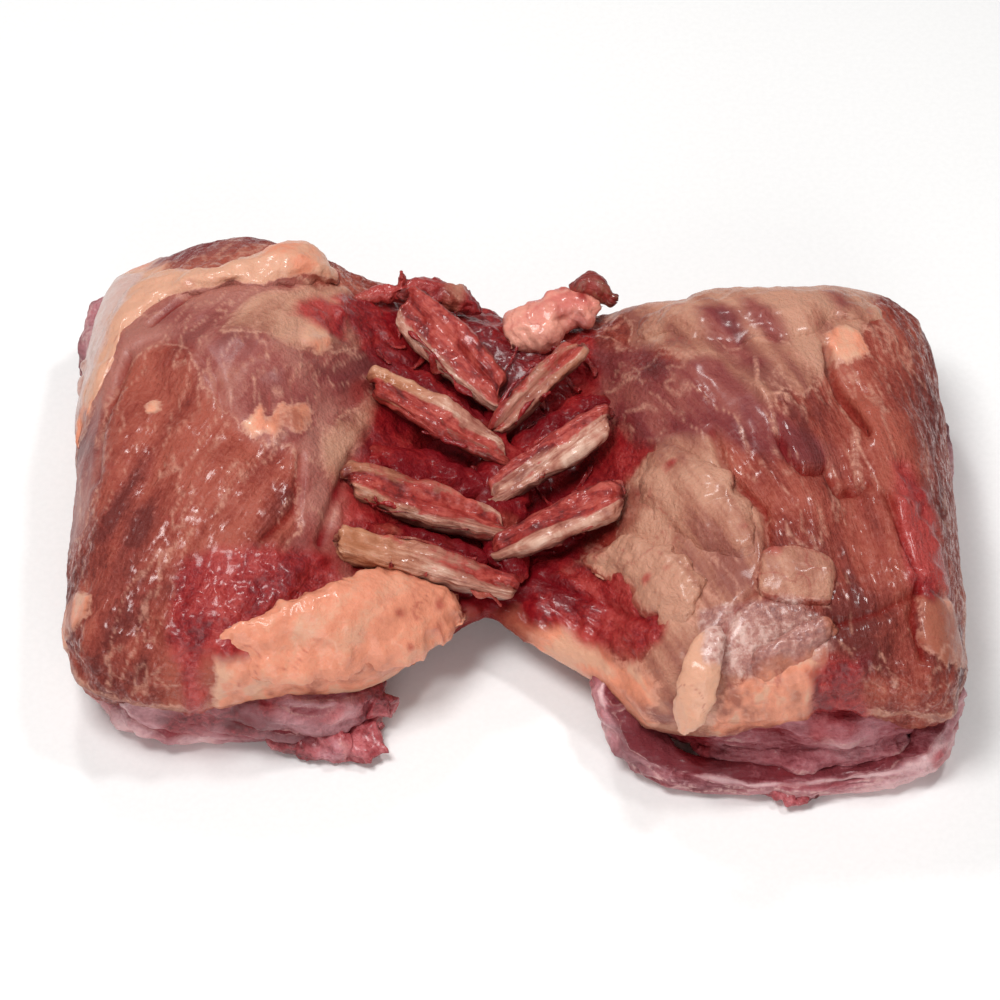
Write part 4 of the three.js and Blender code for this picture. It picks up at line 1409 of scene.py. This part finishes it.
@dataclass(frozen=True)
class Pad:
    """One pad of fat: the node it stands for, its strand, the tissue it is made of, how lumpy it is, how
    light it is, and how uneven in tone.
    """

    node: str
    strand: Strand
    tissue: Tissue = Tissue.FAT
    lumpy: float = 1.0
    tone: float = 0.5
    vary: float = 1.0

    def part(self) -> tuple[Skin, Look]:
        """The pad's lumpy surface. At the rim of a draped one the meat's own tissues show.

        Returns:
            The surface, and its values by attribute name.
        """
        surface, along = self.strand.skin(120, 88)
        p = surface.points
        out = self.lumpy * (0.9 * fractal(p, 9.0, 4, 30.0) - 0.9 * np.abs(fractal(p, 6.0, 3, 34.0)))
        grain, rim = strand_grain(along, p[0, 0, 0]), 0.0
        if self.strand.draped:
            grain = grain_at(p)
            rim = np.maximum(np.abs(along[..., 3]), np.abs(2 * along[..., 2] - 1) ** 3)
        values = covered(p, grain, **{self.tissue.value: 5 - 8 * rim**4})
        values["tone"] = np.clip(self.tone + self.vary * (values["tone"] - 0.5), 0, 1)
        values["wet"] = 6 * fractal(p, 7.0, 2, 35.0) - 6
        values["web"] *= 0.3
        return surface.moved(out), values


@dataclass
class Fats:
    """The pads and lumps of fat on the meat."""

    pads: tuple[Pad, ...] = (
        Pad("fat_cap_left", Strand(((-84, -62, 1, 5, 2.5), (-66, -60, 1, 8, 4), (-50, -53, 2, 12, 6),
            (-33, -45, 3, 13, 7), (-14, -36, 6, 9, 7)), draped=True, ragged=2.5, sink=4.0), tone=0.56,
            vary=0.35),
        Pad("fat_flap_left", Strand(((-125.5, 14, 1, 4, 1.8), (-123, 34, 1, 6, 2.2), (-118, 52, 1, 9, 2.5),
            (-107, 63, 1, 10, 2.5), (-96, 63, 1, 7, 2.5), (-86, 63, 1, 6, 2.5), (-76, 67, 1.5, 8, 3),
            (-62, 73, 2, 10, 6), (-51, 75, 1, 6, 4)), draped=True, ragged=2.0, sink=2.0), lumpy=0.8,
            tone=0.58, vary=0.5),
        Pad("fat_lump_rear", Strand(((-4, 60, 30, 6, 5), (6, 64, 32, 9, 7), (17, 69, 34, 7, 6),
            (27, 70, 35, 5, 4)), ragged=2.5), lumpy=0.9, tone=0.75),
        Pad("fat_sheet_right", Strand(((36, 54, 1, 7, 2), (55, 52, 1, 13, 3), (78, 51, 1, 15, 3),
            (98, 53, 1, 11, 2.5), (112, 50, 1, 6, 2)), draped=True, ragged=2.0, sink=2.5), Tissue.TAN, 0.7),
        Pad("fat_pad_right", Strand(((40, 1, 1.5, 6, 2.5), (44, -8, 1.5, 9, 3), (51, -20, 1.5, 10, 3),
            (59, -33, 1, 8, 2.5), (65, -43, 1, 5, 2)), draped=True, ragged=2.0, sink=2.0), Tissue.TAN, 0.6),
        Pad("fat_pad_low", Strand(((22, -23, 1.5, 4, 2.5), (33, -30, 1.5, 7, 3.5), (42, -44, 1.5, 8, 3.5),
            (48, -58, 1, 6, 2.5)), draped=True, ragged=2.0, sink=2.0), Tissue.TAN, tone=0.65),
        Pad("fat_patch_right", Strand(((67, -48, 0.8, 7, 1.5), (77, -49, 0.8, 8, 2),
            (88, -50, 0.8, 7, 1.5)), square=4, tip=8, draped=True, ragged=1.2, sink=1.0), Tissue.TAN, 0.3,
            0.58, 0.6),
        Pad("fat_tongue", Strand(((56, -64, 56, 3, 2), (52, -73, 52, 5, 3), (48, -81, 43, 6, 3),
            (45, -85, 34, 3, 2)), ragged=1.2), lumpy=0.6, tone=0.66, vary=0.4),
        Pad("fat_strip_right", Strand(((64, -72, 0.8, 4, 2), (76, -68, 0.8, 5, 2.5), (88, -61, 0.8, 3, 2)),
            draped=True, ragged=1.2, sink=2.2), tone=0.42, vary=0.4),
    )

    def build(self) -> None:
        """Makes one piece for each pad. The lump at the back is stained pink."""
        fat = Flesh("raw_fat").build()
        pink = Flesh("pink_fat", fat=("#b9554a", "#d3766a", "#e79c88")).build()
        for pad in self.pads:
            finish = pink if pad.node == "fat_lump_rear" else fat
            dress(build_mesh(f"{pad.node}_look", [pad.part()]), finish, pad.node)


# ---- Stage ----


@dataclass
class Stage:
    """A pale floor, soft studio light and the camera, which looks down at the meat from the front."""

    elevation: float = 52.0  # degrees
    distance: float = 950.0
    target: tuple[float, float, float] = (-3.8, 3.65, 25.0)
    lens: float = 117.1
    sensor: float = 36.0
    aim: tuple[float, float, float] = (0.0, 0.0, 0.03)  # where the lights point, in metres
    sky: float = 0.2  # strength of the light from all round

    def area(self, name: str, place: tuple[float, float, float], size: float, power: float) -> None:
        """Adds a square soft light, turned to the meat.

        Args:
            name: Name of the light.
            place: Its place, in metres.
            size: Length of its side, in metres.
            power: Its power, in watts.
        """
        light = bpy.data.lights.new(name, "AREA")
        light.shape = "SQUARE"
        light.size = size
        light.energy = power
        holder = bpy.data.objects.new(name, light)
        holder.location = place
        holder.rotation_euler = (Vector(self.aim) - Vector(place)).to_track_quat("-Z", "Y").to_euler()
        bpy.context.scene.collection.objects.link(holder)

    def build(self) -> None:
        """Sets the floor, the lights, the world and the camera."""
        bpy.ops.mesh.primitive_plane_add(size=6)
        floor = bpy.context.object
        floor.name = "floor"
        floor.data.materials.append(Paper("floor_paper").build())
        floor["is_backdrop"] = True
        self.area("key", (-0.25, -0.15, 0.9), 0.3, 5.2)
        self.area("glint_left", (-0.2, 0.5, 0.75), 0.1, 1.5)
        self.area("glint_right", (0.3, 0.1, 0.85), 0.1, 1.8)
        self.area("front", (0.1, -1.0, 0.45), 0.7, 3.6)
        world = bpy.data.worlds.new("studio")
        world.use_nodes = True
        world.node_tree.nodes["Background"].inputs[0].default_value = (1, 1, 1, 1)
        world.node_tree.nodes["Background"].inputs[1].default_value = self.sky
        bpy.context.scene.world = world
        rise = np.radians(self.elevation)
        back = Vector((0, -np.cos(rise), np.sin(rise)))
        camera = bpy.data.objects.new("camera", bpy.data.cameras.new("camera"))
        camera.data.lens = self.lens
        camera.data.sensor_width = self.sensor
        camera.location = (Vector(self.target) + back * self.distance) * MM
        camera.rotation_euler = (-back).to_track_quat("-Z", "Y").to_euler()
        bpy.context.scene.collection.objects.link(camera)
        bpy.context.scene.camera = camera
        bpy.context.scene.view_settings.view_transform = "Standard"


def main() -> None:
    """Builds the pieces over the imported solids."""
    logging.basicConfig(level=logging.INFO, format="%(name)s: %(message)s")
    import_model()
    before = [list(map(float, corner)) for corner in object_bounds()]
    Meat().build()
    Ribs().build()
    Fats().build()
    Stage().build()
    after = [list(map(float, corner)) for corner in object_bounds()]
    for label, corners in (("cad", before), ("visual", after)):
        LOG.info("%s box in millimetres: %s", label, np.round(np.array(corners) / MM, 1).tolist())


if __name__ == "__main__":
    main()
